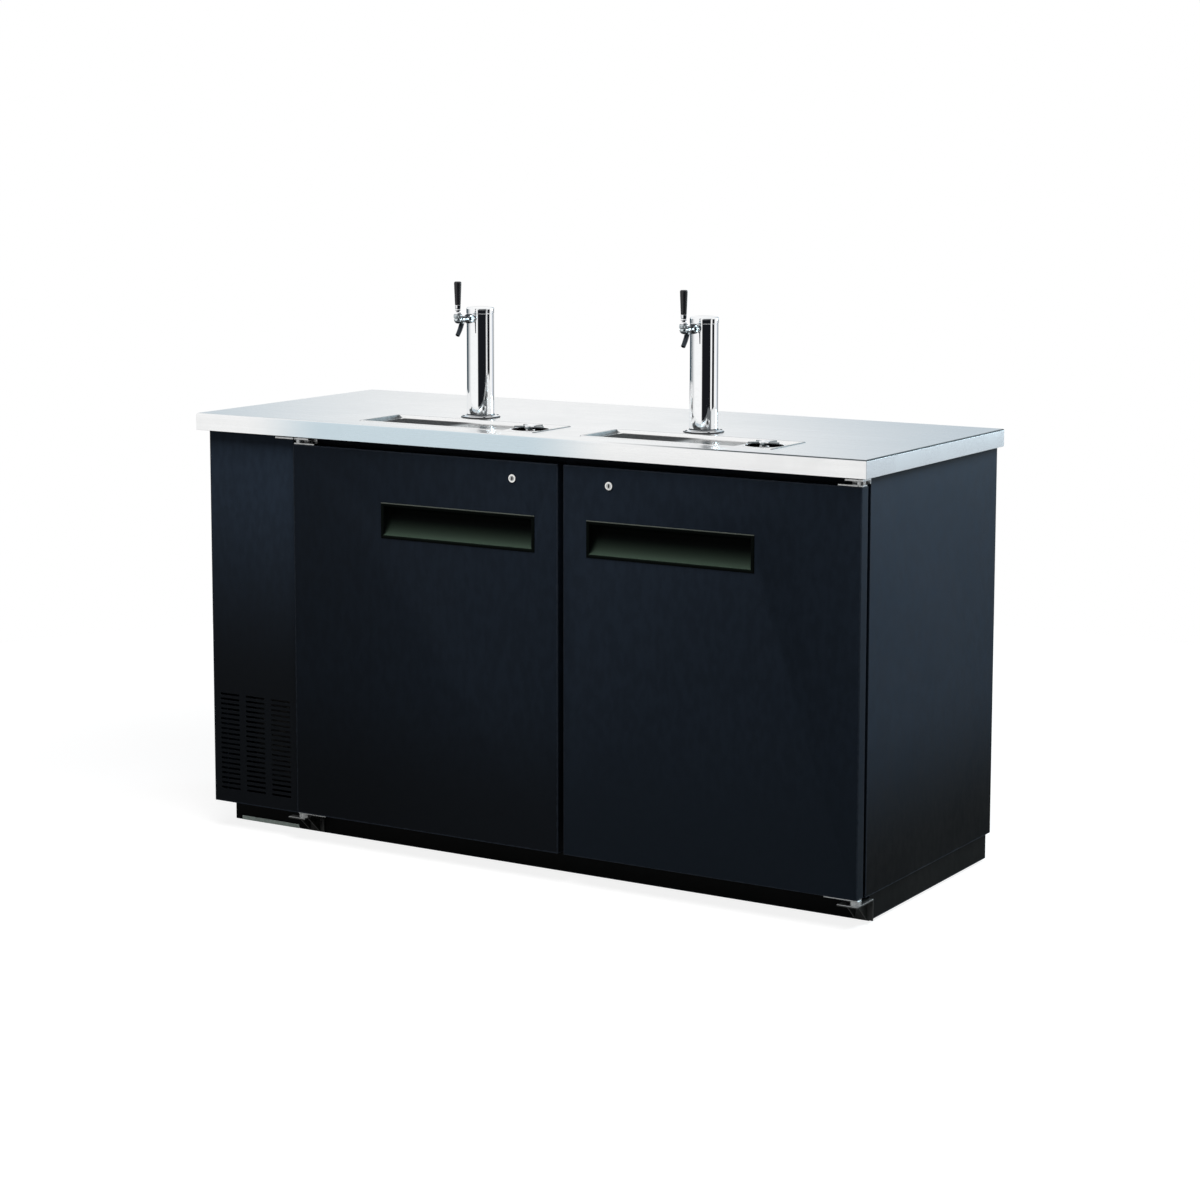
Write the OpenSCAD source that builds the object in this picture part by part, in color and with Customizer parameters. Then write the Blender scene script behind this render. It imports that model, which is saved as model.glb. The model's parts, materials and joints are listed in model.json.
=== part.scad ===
// Two-door draft beer cooler with a stainless counter, two tap towers and two drip trays.
// Millimetres. +Z is up, the front faces -Y, and the origin is on the floor under the middle of the counter.

/* [Counter] */
// Width of the counter
counter_w = 1756; // [1650:1:1900]
// Depth of the counter
counter_d = 702; // [670:1:760]
// Height of the counter's folded edge
counter_t = 40; // [36:1:50]
// Thickness of the stainless sheet
sheet_t = 1.2; // [0.8:0.1:1.6]
// Outer radius of the counter's folded edges
bend_r = 4; // [2:0.5:8]

/* [Cabinet] */
// Height of the cabinet from its underside to the counter
cabinet_h = 894; // [850:1:950]
// Counter overhang at each side
side_inset = 16; // [10:1:30]
// Distance from the counter's front edge back to the cabinet's front face
face_inset = 56; // [52:1:62]
// Thickness of the insulated walls
wall_t = 50; // [44:1:60]
// Thickness of the insulated floor
floor_t = 49; // [40:1:60]
// Thickness of the insulated ceiling
ceiling_t = 40; // [34:1:46]
// Height of the header rail over the door openings
header_h = 48; // [46:1:52]
// Depth of the header rail and the mullion
header_d = 40; // [30:1:60]
// Width of the mullion between the door openings
mullion_w = 70; // [66:1:90]
// Width of the machine bay, outside to bulkhead
machine_w = 250; // [245:1:280]
// Thickness of the plain left side panel
plain_side_t = 20; // [16:1:22]

/* [Base] */
// Height of the levelling feet under the base
foot_h = 8; // [8:1:16]
// Height of the base frame
base_h = 61; // [56:1:80]
// Inset of the base from the cabinet's sides
base_side_inset = 10; // [4:1:30]
// Distance from the counter's front edge back to the base
base_front_inset = 95; // [90:1:110]
// Distance from the cabinet's rear to the base
base_rear_inset = 2; // [0:1:30]
// Thickness of the base frame's folded steel
rail_t = 2.5; // [2:0.1:4]
// Width of the base frame's flanges
rail_flange = 28; // [20:1:34]
// Distance from the base's edges to the centres of the feet
foot_inset = 62; // [50:1:72]
// Diameter of a foot's pad
foot_d = 36; // [24:1:42]

/* [Doors] */
// Distance from the counter's front edge back to the doors
door_inset = 15; // [12:1:18]
// Thickness of a door's leaf
door_t = 29; // [26:1:30]
// Gap between the two doors
door_gap = 14; // [6:1:20]
// Gap between the bulkhead's outer face and the left door
door_side_gap = 8; // [7:0.5:14]
// Gap over the doors
door_top_gap = 19; // [18:0.5:21]
// Gap from the cabinet's underside up to the doors
door_bottom_gap = 2.5; // [2:0.5:8]
// Radius of the doors' front edges
door_edge_r = 3; // [1:0.5:6]
// Width of the door gasket
gasket_w = 24; // [18:1:24]
// Distance from a door's hinged edge to its gasket
gasket_hinge_inset = 14; // [12:1:20]
// Distance from a door's other edges to its gasket
gasket_edge_inset = 3; // [2:0.5:5]
// Gap between a closed door's gasket and the cabinet
gasket_gap = 0.3; // [0.2:0.1:1]
// Thickness of a door's inner liner
liner_t = 5; // [3:0.5:6]

/* [Hinges] */
// Distance from a door's outer edge to its hinge axis
hinge_in = 10; // [10:0.5:12]
// Diameter of the hinge pins
pin_d = 8; // [6:0.5:10]
// Radial clearance of the turning and sliding fits
run_gap = 0.05; // [0.02:0.01:0.1]
// Diameter of the upper knuckles
upper_knuckle_d = 19; // [16:0.5:20]
// Diameter of the lower knuckles
lower_knuckle_d = 24; // [18:0.5:26]
// Thickness of the straps on the doors
strap_t = 3; // [2:0.5:4]
// Width of the straps
strap_w = 21; // [18:1:24]
// Length of the upper straps past the hinge axis
upper_strap_l = 48; // [30:1:90]
// Length of the lower straps past the hinge axis
lower_strap_l = 70; // [30:1:120]
// Thickness of the fixed brackets
bracket_t = 4; // [3:0.5:5]
// Distance between the gussets of a lower bracket
gusset_pitch = 28; // [20:1:34]
// Thickness of the gussets
gusset_t = 3; // [2:0.5:5]
// Length of the cover strip beside the upper left hinge
strip_l = 52; // [20:1:80]

/* [Handles and locks] */
// Width of a handle cup's rim
cup_w = 416; // [300:1:460]
// Height of a handle cup's rim
cup_h = 82; // [70:1:110]
// Depth of a handle cup behind the door's face
cup_depth = 24; // [20:0.5:25]
// Width of the rim's face
cup_rim = 8; // [5:0.5:12]
// Height of the rim over the door's face
cup_rim_t = 1.5; // [1:0.5:3]
// Wall of the moulded cup
cup_wall = 2; // [1.5:0.5:3]
// Distance from a door's inner edge to its handle cup
cup_from_edge = 60; // [40:1:90]
// Distance from a door's top to its handle cup
cup_from_top = 118; // [90:1:200]
// Distance from a door's inner edge to its lock
lock_from_edge = 118; // [90:1:150]
// Distance from a door's top to its lock
lock_from_top = 39; // [37:0.5:42]
// Diameter of the lock barrel
lock_d = 16; // [14:0.5:17]
// Diameter of the lock's turning plug
plug_d = 11; // [9:0.5:12]

/* [Machine bay panel] */
// Distance from the cabinet's front face to the panel's front
panel_d = 26; // [20:1:30]
// Thickness of the panel's sheet
panel_t = 1.5; // [1:0.1:2]
// Gap between the panel and the bulkhead's outer face
panel_gap = 1; // [0.5:0.1:2]
// How far the panel hangs below the cabinet
panel_drop = 3; // [0:0.5:6]
// Number of slots in a column
slot_rows = 20; // [8:1:24]
// Distance between slots
slot_pitch = 12; // [9:0.5:14]
// Height of a slot
slot_h = 5; // [3:0.5:7]
// Number of slot columns
slot_columns = 3; // [2:1:3]
// Width of a slot
slot_w = 56; // [40:1:60]
// Width of the bars between slot columns
slot_bar = 20; // [10:1:24]
// Distance from the panel's lower edge to the lowest slot
slot_from_bottom = 32; // [20:1:60]

/* [Towers] */
// Distance from the counter's left end to the left tower's axis
left_tower_from_end = 618; // [580:1:640]
// Distance from the counter's right end to the right tower's axis
right_tower_from_end = 541; // [500:1:560]
// Distance from the counter's front edge to the towers' axes
tower_from_front = 283; // [270:1:330]
// Diameter of a tower
tower_d = 63.5; // [60:0.5:76]
// Height of a tower above the counter
tower_h = 257; // [240:1:320]
// Wall of a tower
tower_wall = 1.5; // [1:0.1:3]
// Diameter of a tower's flange
flange_d = 90; // [84:1:110]
// Thickness of a tower's flange
flange_t = 4.5; // [3:0.5:8]
// Height of a tower's cap
cap_h = 15; // [8:1:20]
// Diameter of the duct from the keg room into a tower
duct_d = 50; // [40:1:54]

/* [Taps] */
// Height of the tap's axis under the tower's top
tap_from_top = 25; // [25:1:60]
// Distance from the tower's axis forward to the tap lever
tap_reach = 92; // [88:1:120]
// Diameter of the shank
shank_d = 15.5; // [14:0.5:16]
// Diameter of the shank's collar on the tower
collar_d = 19; // [17:0.5:20]
// Diameter of the faucet's coupling ring
coupling_d = 25; // [22:0.5:30]
// Diameter of the faucet's barrel
barrel_d = 17; // [16:0.5:20]
// Diameter of the valve bore
valve_bore_d = 10.4; // [9:0.1:11]
// Height of the lever's pivot over the tap's axis
pivot_h = 13; // [12:0.5:16]
// Diameter of the lever's ball
ball_d = 14; // [12:0.5:16]
// Gap round the ball
ball_gap = 0.3; // [0.2:0.1:0.5]
// Length of the ferrule over the ball
ferrule_l = 14; // [8:0.5:18]
// Length of the tap handle
handle_l = 54; // [40:1:90]
// Diameter of the tap handle's lower end
handle_low_d = 12.5; // [11:0.5:16]
// Diameter of the tap handle's upper end
handle_top_d = 17; // [14:0.5:24]
// How far the spout slants forward
spout_slant = 20; // [10:1:26]
// How far the spout reaches down
spout_drop = 33; // [28:1:50]
// Diameter of the spout's outlet
spout_d = 11.5; // [10:0.5:14]

/* [Drip trays] */
// Width of a tray's frame
tray_w = 480; // [420:1:520]
// Depth of a tray's frame
tray_d = 157; // [140:1:170]
// Depth of a tray's sump under the counter's face
sump_h = 28; // [24:1:32]
// Distance from the counter's front edge to a tray
tray_from_front = 63; // [55:1:70]
// Distance from a tower's axis to its tray's middle, to the right
tray_offset = 50; // [20:1:70]
// Width of a tray's flat frame
tray_rim = 6; // [4:0.5:10]
// Depth of the grate's face under the counter's face
grate_drop = 6; // [5:0.5:9]
// Thickness of the grate
grate_t = 2; // [1.5:0.5:3]
// Width of the ledge under the grate
ledge_w = 7; // [5:0.5:12]
// Length of a grate slot
grate_slot_l = 110; // [80:1:115]
// Width of a grate slot
grate_slot_w = 3; // [2:0.5:4]
// Distance between grate slots
grate_pitch = 5.5; // [5:0.5:9]
// Diameter of the glass rinser
rinser_d = 88; // [70:1:96]
// Height of the rinser's push star over the counter's face
star_rise = 6; // [4:0.5:10]
// Travel of the rinser's push star
rinser_travel = 5; // [3:0.5:5]
// Diameter of the drain spigot's hose end
drain_d = 20; // [16:0.5:24]

/* [Refrigeration] */
// Diameter of the compressor's shell
compressor_d = 170; // [140:1:180]
// Height of the compressor's shell
compressor_h = 190; // [150:1:220]
// Width of the condenser coil
condenser_w = 205; // [190:1:208]
// Height of the condenser coil
condenser_h = 236; // [210:1:260]
// Thickness of the coils
coil_t = 44; // [36:1:50]
// Radius of the fans
fan_r = 80; // [60:1:84]
// Number of fan blades
fan_blades = 5; // [3:1:7]
// Radial gap round the fans
fan_gap = 4; // [3:0.5:6]
// Width of the evaporator housing
evaporator_w = 400; // [300:1:440]
// Height of the evaporator housing
evaporator_h = 240; // [200:1:260]
// Depth of the evaporator housing
evaporator_d = 115; // [110:1:125]
// Diameter of the copper lines
line_d = 9; // [6:0.5:12]

/* [Hidden] */
$fn = 48;

// Colours
black_paint = [0.05, 0.05, 0.06];
black_plastic = [0.08, 0.08, 0.08];
stainless = [0.80, 0.81, 0.82];
chrome = [0.88, 0.89, 0.90];
galvanised = [0.62, 0.68, 0.66];
liner_grey = [0.70, 0.71, 0.72];
copper = [0.72, 0.45, 0.30];

// How far a cutting tool runs past a face
over = 1;
// Gap between fixed pieces that are fitted into each other
fit_gap = 0.2;

// Heights
z_base = foot_h;
z_cab = z_base + base_h;
z_floor = z_cab + floor_t;
z_under = z_cab + cabinet_h;
z_top = z_under + counter_t;
z_ceiling = z_under - ceiling_t;
z_header = z_under - header_h;
z_tower = z_top + tower_h;
z_tap = z_tower - tap_from_top;

// Faces of the cabinet
x_side = counter_w / 2 - side_inset;
x_bulk = -x_side + machine_w;
x_room0 = x_bulk + wall_t;
x_room1 = x_side - wall_t;
y_front = -counter_d / 2;
y_rear = counter_d / 2;
y_face = y_front + face_inset;
y_room1 = y_rear - wall_t;

// Base
x_base = x_side - base_side_inset;
y_base0 = y_front + base_front_inset;
y_base1 = y_rear - base_rear_inset;
foot_stem_r = 5;
foot_plate = foot_inset + foot_d / 2 + over;
notch_from_side = 20;
notch_from_bulkhead = 48;
notch_x0 = -x_base + notch_from_side;
notch_x1 = x_bulk - notch_from_bulkhead;
notch_h = 10;
unit_tray_t = 2;
z_unit = z_base + rail_t + unit_tray_t;

// Doors, measured from each door's outer edge
door_x0 = x_bulk + door_side_gap;
door_w = (x_side - door_x0 - door_gap) / 2;
x_mullion = door_x0 + door_w + door_gap / 2;
y_door = y_front + door_inset;
y_leaf1 = y_door + door_t;
z_door0 = z_cab + door_bottom_gap;
z_door1 = z_under - door_top_gap;
y_hinge = y_door + door_t / 2;
gasket_lo = [gasket_hinge_inset, z_door0 + gasket_edge_inset];
gasket_hi = [door_w - gasket_edge_inset, z_door1 - gasket_edge_inset];
liner_gap = 0.5;
liner_edge = gasket_w + liner_gap;
cup_lo = [door_w - cup_from_edge - cup_w, z_door1 - cup_from_top - cup_h];
cup_hi = [door_w - cup_from_edge, z_door1 - cup_from_top];
cup_in = cup_rim - cup_wall;
y_cup = y_door + cup_depth;
lock_x = door_w - lock_from_edge;
z_lock = z_door1 - lock_from_top;
lock_tail_d = 7;
lock_past = 2;
cam_gap = 2;
cam_t = 3;
cam_w = 12;
y_cam = y_face + header_d + cam_gap;
cam_l = z_ceiling - cam_gap - z_lock;

// Hinges
z_upper_strap = z_door1 + strap_t;
knuckle_gap = 0.5;
bracket_room = 4;
z_upper_bracket = z_under - bracket_room - bracket_t;
z_lower_strap = z_door0 - strap_t;
lower_knuckle_h = 10;
z_lower_bracket = z_lower_strap - lower_knuckle_h - knuckle_gap;
strip_gap = 2;
gusset_d = 48;
bracket_leg_t = 3;
pin_fit = 0.02;

// Towers, taps and trays
tower_r = tower_d / 2;
y_tower = y_front + tower_from_front;
tower_xs = [left_tower_from_end - counter_w / 2, counter_w / 2 - right_tower_from_end];
cap_plug_l = 1.5;
collar_l = 10;
coupling_l = 12;
coupling_z = tower_r + collar_l;
chamber_r = barrel_d / 2 + 2;
bonnet_h = 8;
lever_swing = 40;
valve_slot = 0.6;
tail_r = 2.6;
ferrule_y = pivot_h + ball_d / 2;
handle_y = ferrule_y + ferrule_l;
stud_r = 3;
stud_l = 10;
// The spout's axis starts inside the barrel and slants forward and down
spout_z = tap_reach - 18;
spout_y = -3;
spout_tilt = atan2(spout_slant, spout_drop);
spout_l = norm([spout_slant, spout_drop]);
tray_y0 = y_front + tray_from_front;
tray_y1 = tray_y0 + tray_d;
frame_t = 1.2;
pan_t = 1.2;
grate_z1 = z_top - grate_drop;
grate_z0 = grate_z1 - grate_t;
sump_z = z_top - sump_h;
rinser_from_end = rinser_d / 2 + tray_rim + ledge_w + 4;
drain_from_end = 70;
drain_from_rear = 34;
drain_end_l = 18;
drain_wall = 2;
drain_step = 1.5;
drain_room = 1;
pan_draw = 2.4;
grate_gap = 1;
post_r = 11;
stem_r = 6;
star_t = 4;

// Refrigeration
x_unit = (-x_side + plain_side_t + x_bulk) / 2;
condenser_gap = 4;
condenser_lift = 31;
y_condenser = y_base0 + rail_flange + condenser_gap;
z_condenser = z_cab + condenser_lift;
z_fan = z_condenser + condenser_h / 2;
y_shroud = y_condenser + coil_t;
shroud_t = 2;
fan_h = 20;
motor_r = 34;
motor_l = 42;
fan_shaft_r = 3;
fan_shaft_l = 20;
hub_r = 21;
motor_gap = 6;
arm_half = 14;
y_motor = y_shroud + shroud_t + fan_h + motor_gap + motor_l;
compressor_room = 90;
y_compressor = y_base1 - compressor_d / 2 - compressor_room;
mount_h = 14;
plate_t = 3;
shell_z = z_unit + mount_h + plate_t;
stub_h = 12;
stub_wall = 1.5;
z_stub = shell_z + compressor_h + stub_h;
discharge = [x_unit + 20, y_compressor - 10];
suction = [x_unit + 40, y_compressor + 20];
evaporator_rear_room = 59;
evaporator_room = 18;
y_evaporator = y_room1 - evaporator_rear_room - evaporator_w / 2;
z_evaporator = z_ceiling - evaporator_room - evaporator_h;
z_evaporator_fan = z_evaporator + evaporator_h / 2;
coil_gap = 6;
x_coil0 = x_room0 + coil_gap;
x_coil1 = x_coil0 + coil_t;
motor_plate_t = 2;
x_motor = x_coil1 + motor_plate_t;
evaporator_motor_l = 34;
housing_t = 2;
// Where the two lines pass the bulkhead
line_spread = 60;
line_drop = 40;
z_lines = z_evaporator + evaporator_h - line_drop;
line_ys = [y_evaporator - line_spread, y_evaporator + line_spread];

function tray_x(x) = x + tray_offset - tray_w / 2;
function rinser_x(x) = tray_x(x) + tray_w - rinser_from_end;
rinser_y = (tray_y0 + tray_y1) / 2;

// A block between two corners
module block(lo, hi) {
    translate(lo) cube(hi - lo);
}

// A flat outline in X and Z, thickened from y0 to y1
module along_y(y0, y1) {
    translate([0, y1, 0]) rotate([90, 0, 0]) linear_extrude(y1 - y0) children();
}

// A flat outline in Y and Z, thickened from x0 to x1
module along_x(x0, x1) {
    translate([x0, 0, 0]) rotate([90, 0, 90]) linear_extrude(x1 - x0) children();
}

// A rectangle with round corners
module round_rect(lo, hi, r) {
    translate([lo[0] + r, lo[1]]) square([hi[0] - lo[0] - 2 * r, hi[1] - lo[1]]);
    translate([lo[0], lo[1] + r]) square([hi[0] - lo[0], hi[1] - lo[1] - 2 * r]);
    for (x = [lo[0] + r, hi[0] - r], y = [lo[1] + r, hi[1] - r]) translate([x, y]) circle(r);
}

// A rectangle whose two upper corners are round
module arch_rect(half_w, z0, z1, r) {
    translate([-half_w, z0]) square([2 * half_w, z1 - z0 - r]);
    translate([-half_w + r, z0]) square([2 * half_w - 2 * r, z1 - z0]);
    for (x = [-half_w + r, half_w - r]) translate([x, z1 - r]) circle(r);
}

// A slab with all four upper edges round
module folded_slab(half_w, half_d, z0, z1, r) {
    intersection() {
        along_y(-half_d, half_d) arch_rect(half_w, z0, z1, r);
        along_x(-half_w, half_w) arch_rect(half_d, z0, z1, r);
    }
}

// A pan's hollow: wide at the top, drawn in on every side at the bottom
module tapered_block(lo, hi, draw) {
    x_shape = [[lo[0] + draw, lo[2]], [hi[0] - draw, lo[2]], [hi[0], hi[2]], [lo[0], hi[2]]];
    y_shape = [[lo[1] + draw, lo[2]], [hi[1] - draw, lo[2]], [hi[1], hi[2]], [lo[1], hi[2]]];
    intersection() {
        along_y(lo[1], hi[1]) polygon(x_shape);
        along_x(lo[0], hi[0]) polygon(y_shape);
    }
}

// A round rod or bore along Y
module rod_y(x, z, r, y0, y1) {
    translate([x, y0, z]) rotate([-90, 0, 0]) cylinder(h = y1 - y0, r = r);
}

// A round rod or bore along X
module rod_x(y, z, r, x0, x1) {
    translate([x0, y, z]) rotate([0, 90, 0]) cylinder(h = x1 - x0, r = r);
}

// A round rod or bore along Z
module rod_z(x, y, r, z0, z1) {
    translate([x, y, z0]) cylinder(h = z1 - z0, r = r);
}

// Places a door's pieces: side 1 is the left door, -1 the right, and X runs inwards from the outer edge
module on_door(side) {
    if (side > 0) translate([door_x0, 0, 0]) children();
    else translate([x_side, 0, 0]) mirror([1, 0, 0]) children();
}

// Places a tap's pieces: Z runs forward from the tower's axis and Y runs up from the tap's axis
module on_tap(x) {
    translate([x, y_tower, z_tap]) rotate([90, 0, 0]) children();
}

// A bent copper line through a list of points, with a fitting at each bend
module copper_line(points) {
    for (i = [0 : len(points) - 2]) {
        run = points[i + 1] - points[i];
        turn = [0, acos(run[2] / norm(run)), atan2(run[1], run[0])];
        translate(points[i]) rotate(turn) cylinder(h = norm(run), d = line_d);
    }
    for (i = [1 : len(points) - 2]) translate(points[i]) sphere(d = line_d * 1.2);
}

// A folded channel in Y and Z, web at y0, flanges towards +Y
module channel_outline() {
    difference() {
        translate([0, z_base]) square([rail_flange, base_h]);
        translate([rail_t, z_base + rail_t]) square([rail_flange, base_h - 2 * rail_t]);
    }
}

module base_frame() {
    color(black_paint) difference() {
        union() {
            translate([0, y_base0, 0]) along_x(-x_base, x_base) channel_outline();
            translate([0, y_base1, 0]) mirror([0, 1, 0]) along_x(-x_base, x_base) channel_outline();
            for (x = [-x_base, x_bulk, x_mullion, x_base - rail_t]) {
                block([x, y_base0, z_base], [x + rail_t, y_base1, z_base + base_h]);
            }
            foot_plates();
        }
        foot_places() translate([0, 0, -over]) cylinder(h = rail_t + 2 * over, r = foot_stem_r + fit_gap);
        block([notch_x0, y_base0 - over, z_base - over],
            [notch_x1, y_base0 + rail_flange + over, z_base + notch_h]);
    }
}

// The feet stand at the corners and at the middle cross rail
module foot_places() {
    for (x = [-x_base + foot_inset, x_mullion + foot_inset, x_base - foot_inset]) {
        for (y = [y_base0 + foot_inset, y_base1 - foot_inset]) translate([x, y, z_base]) children();
    }
}

module foot_plates() {
    for (x = [-x_base, x_mullion, x_base - foot_plate]) {
        for (y = [y_base0, y_base1 - foot_plate]) {
            block([x, y, z_base], [x + foot_plate, y + foot_plate, z_base + rail_t]);
        }
    }
}

module levelling_feet() {
    nut_h = 2;
    nut_r = foot_stem_r + 6;
    pad_draw = 6;
    color(black_plastic) foot_places() {
        translate([0, 0, -foot_h]) cylinder(h = foot_h - nut_h, d1 = foot_d, d2 = foot_d - pad_draw);
        translate([0, 0, -nut_h]) cylinder(h = nut_h, r = nut_r);
        cylinder(h = rail_t, r = foot_stem_r);
    }
}

module unit_tray() {
    lip = 1.5;
    color(galvanised) {
        block([-x_base + rail_t + fit_gap, y_base0 + rail_t + fit_gap, z_base + rail_t],
            [x_bulk - fit_gap, y_base1 - rail_t - fit_gap, z_unit]);
        block([notch_x0 + fit_gap, y_base0 - lip, z_base + rail_t],
            [notch_x1 - fit_gap, y_base0 + rail_flange, z_unit]);
        block([notch_x0 + fit_gap, y_base0 - lip, z_base + fit_gap],
            [notch_x1 - fit_gap, y_base0 - lip + unit_tray_t, z_base + notch_h - fit_gap]);
    }
}

module floor_panel() {
    color(liner_grey) block([x_bulk, y_face, z_cab], [x_room1, y_room1, z_floor]);
}

module right_side_panel() {
    color(black_paint) block([x_room1, y_face, z_cab], [x_side, y_rear, z_under]);
}

module left_side_panel() {
    color(black_paint) block([-x_side, y_face, z_cab], [-x_side + plain_side_t, y_rear, z_under]);
}

module bulkhead_panel() {
    color(liner_grey) difference() {
        block([x_bulk, y_face, z_floor], [x_room0, y_room1, z_under]);
        for (y = line_ys) rod_x(y, z_lines, line_d / 2 + fit_gap, x_bulk - over, x_room0 + over);
    }
}

module rear_panel() {
    color(black_paint) block([x_bulk, y_room1, z_cab], [x_room1, y_rear, z_under]);
}

module rear_vent_cover() {
    x0 = -x_side + plain_side_t;
    vent_w = (x_bulk - x0 - 3 * slot_bar) / 2;
    color(black_paint) difference() {
        block([x0, y_rear - panel_t, z_cab], [x_bulk, y_rear, z_under]);
        for (i = [0 : 1], row = [0 : slot_rows - 1]) {
            x = x0 + slot_bar + i * (vent_w + slot_bar);
            z = z_cab + slot_from_bottom + row * slot_pitch * 2;
            block([x, y_rear - panel_t - over, z], [x + vent_w, y_rear + over, z + slot_h]);
        }
    }
}

module header_rail() {
    color(black_paint) block([x_room0, y_face, z_header], [x_room1, y_face + header_d, z_under]);
}

module center_mullion() {
    color(black_paint) block([x_mullion - mullion_w / 2, y_face, z_floor],
        [x_mullion + mullion_w / 2, y_face + header_d, z_header]);
}

// The holes under each tower and each drain
module service_bores(z0, z1) {
    drain_bore_r = drain_d / 2 + drain_step + drain_room;
    for (x = tower_xs) {
        rod_z(x, y_tower, duct_d / 2, z0, z1);
        rod_z(tray_x(x) + drain_from_end, tray_y1 - drain_from_rear, drain_bore_r, z0, z1);
    }
}

module ceiling_panel() {
    color(liner_grey) difference() {
        block([x_room0, y_face + header_d, z_ceiling], [x_room1, y_room1, z_under]);
        service_bores(z_ceiling - over, z_under + over);
    }
}

// The space that each pan takes in the counter
module pan_space(gap) {
    for (x = tower_xs) {
        block([tray_x(x) + tray_rim - gap, tray_y0 + tray_rim - gap, sump_z - pan_t - gap],
            [tray_x(x) + tray_w - tray_rim + gap, tray_y1 - tray_rim + gap, z_top + over]);
    }
}

// A row of boards from one end of the counter to the other, broken where the spans lie
module board_row(y0, y1, spans) {
    starts = concat([-counter_w / 2], [for (span = spans) span[1]]);
    ends = concat([for (span = spans) span[0]], [counter_w / 2]);
    for (i = [0 : len(starts) - 1]) block([starts[i], y0, z_under], [ends[i], y1 - fit_gap, z_top]);
}

// Rows of boards back the sheet and frame the pans and the ducts
module counter_core() {
    half = [counter_w / 2 - sheet_t, counter_d / 2 - sheet_t];
    duct_half = duct_d / 2 + fit_gap;
    pan_y = [tray_y0 + tray_rim, tray_y1 - tray_rim + fit_gap];
    pans = [for (x = tower_xs) [tray_x(x) + tray_rim - fit_gap, tray_x(x) + tray_w - tray_rim + fit_gap]];
    ducts = [for (x = tower_xs) [x - duct_half, x + duct_half]];
    color(liner_grey) intersection() {
        folded_slab(half[0], half[1], z_under, z_top - sheet_t, bend_r - sheet_t);
        union() {
            board_row(y_front, pan_y[0], []);
            board_row(pan_y[0], pan_y[1], pans);
            board_row(pan_y[1], y_tower - duct_half, []);
            board_row(y_tower - duct_half, y_tower + duct_half, ducts);
            board_row(y_tower + duct_half, y_rear, []);
        }
    }
}

module countertop() {
    color(stainless) difference() {
        folded_slab(counter_w / 2, counter_d / 2, z_under, z_top, bend_r);
        translate([0, 0, -over]) folded_slab(counter_w / 2 - sheet_t, counter_d / 2 - sheet_t, z_under,
            z_top - sheet_t + over, bend_r - sheet_t);
        for (x = tower_xs) rod_z(x, y_tower, duct_d / 2, z_under, z_top + over);
        pan_space(fit_gap);
    }
}

module grille_panel() {
    x0 = -x_side;
    x1 = x_bulk - panel_gap;
    y0 = y_face - panel_d;
    z0 = z_cab - panel_drop;
    field_w = slot_columns * slot_w + (slot_columns - 1) * slot_bar;
    slot_x0 = (x0 + x1 - field_w) / 2;
    color(black_paint) difference() {
        block([x0, y0, z0], [x1, y_face, z_under]);
        block([x0 + panel_t, y0 + panel_t, z0 + panel_t], [x1 - panel_t, y_face + over, z_under - panel_t]);
        for (i = [0 : slot_columns - 1], row = [0 : slot_rows - 1]) {
            x = slot_x0 + i * (slot_w + slot_bar);
            z = z0 + slot_from_bottom + row * slot_pitch;
            block([x, y0 - over, z], [x + slot_w, y0 + panel_t + over, z + slot_h]);
        }
    }
}

module compressor() {
    r = compressor_d / 2;
    can_r = r - 6;
    base_r = r - 22;
    dome_r = r - 32;
    weld = [60, 64, 74, 78];
    shoulder_z = compressor_h - 45;
    dome_z = compressor_h - 14;
    plate_half = [r + 8, r - 3];
    mount_half = [r - 5, r - 15];
    mount_r = 11;
    color(black_paint) {
        translate([x_unit, y_compressor, shell_z]) rotate_extrude() {
            polygon([[0, 0], [base_r, 0], [can_r, 10], [can_r, weld[0]], [r, weld[1]], [r, weld[2]],
                [can_r, weld[3]], [can_r - 4, shoulder_z], [dome_r, dome_z], [0, compressor_h]]);
        }
        for (p = [discharge, suction]) {
            rod_z(p[0], p[1], line_d / 2 + stub_wall, shell_z + shoulder_z, z_stub);
        }
        block([x_unit - plate_half[0], y_compressor - plate_half[1], shell_z - plate_t],
            [x_unit + plate_half[0], y_compressor + plate_half[1], shell_z]);
        for (x = [-mount_half[0], mount_half[0]], y = [-mount_half[1], mount_half[1]]) {
            rod_z(x_unit + x, y_compressor + y, mount_r, z_unit, shell_z - plate_t);
        }
    }
}

// A half ring that leads one pass of a coil back into the next, open towards -X
module return_bend(r, d) {
    translate([0, 0, -d / 2]) linear_extrude(d) difference() {
        circle(r + d);
        circle(r);
        translate([-r - d, -r - d]) square([r + d, 2 * (r + d)]);
    }
}

module condenser_coil() {
    x0 = x_unit - condenser_w / 2;
    x1 = x_unit + condenser_w / 2;
    fin_back = 3;
    plate_x = 2;
    tube_d = 6;
    loop_r = 6;
    loop_out = loop_r + tube_d;
    pass_pitch = 44;
    first_pass = 31;
    passes = floor((condenser_h - first_pass) / pass_pitch) + 1;
    fin_x = [x0 + loop_out, x1 - loop_out];
    z1 = z_condenser + condenser_h;
    color(copper) {
        block([fin_x[0], y_condenser + fin_back, z_condenser], [fin_x[1], y_shroud - fin_back, z1]);
        for (x = [fin_x[0], fin_x[1] - plate_x]) {
            block([x, y_condenser, z_unit], [x + plate_x, y_shroud, z1]);
        }
        for (i = [0 : passes - 1], end = [0, 1]) {
            translate([fin_x[end], y_condenser + coil_t / 2, z_condenser + first_pass + i * pass_pitch]) {
                rotate([90, end == 0 ? 180 : 0, 0]) return_bend(loop_r, tube_d);
            }
        }
    }
}

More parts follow.
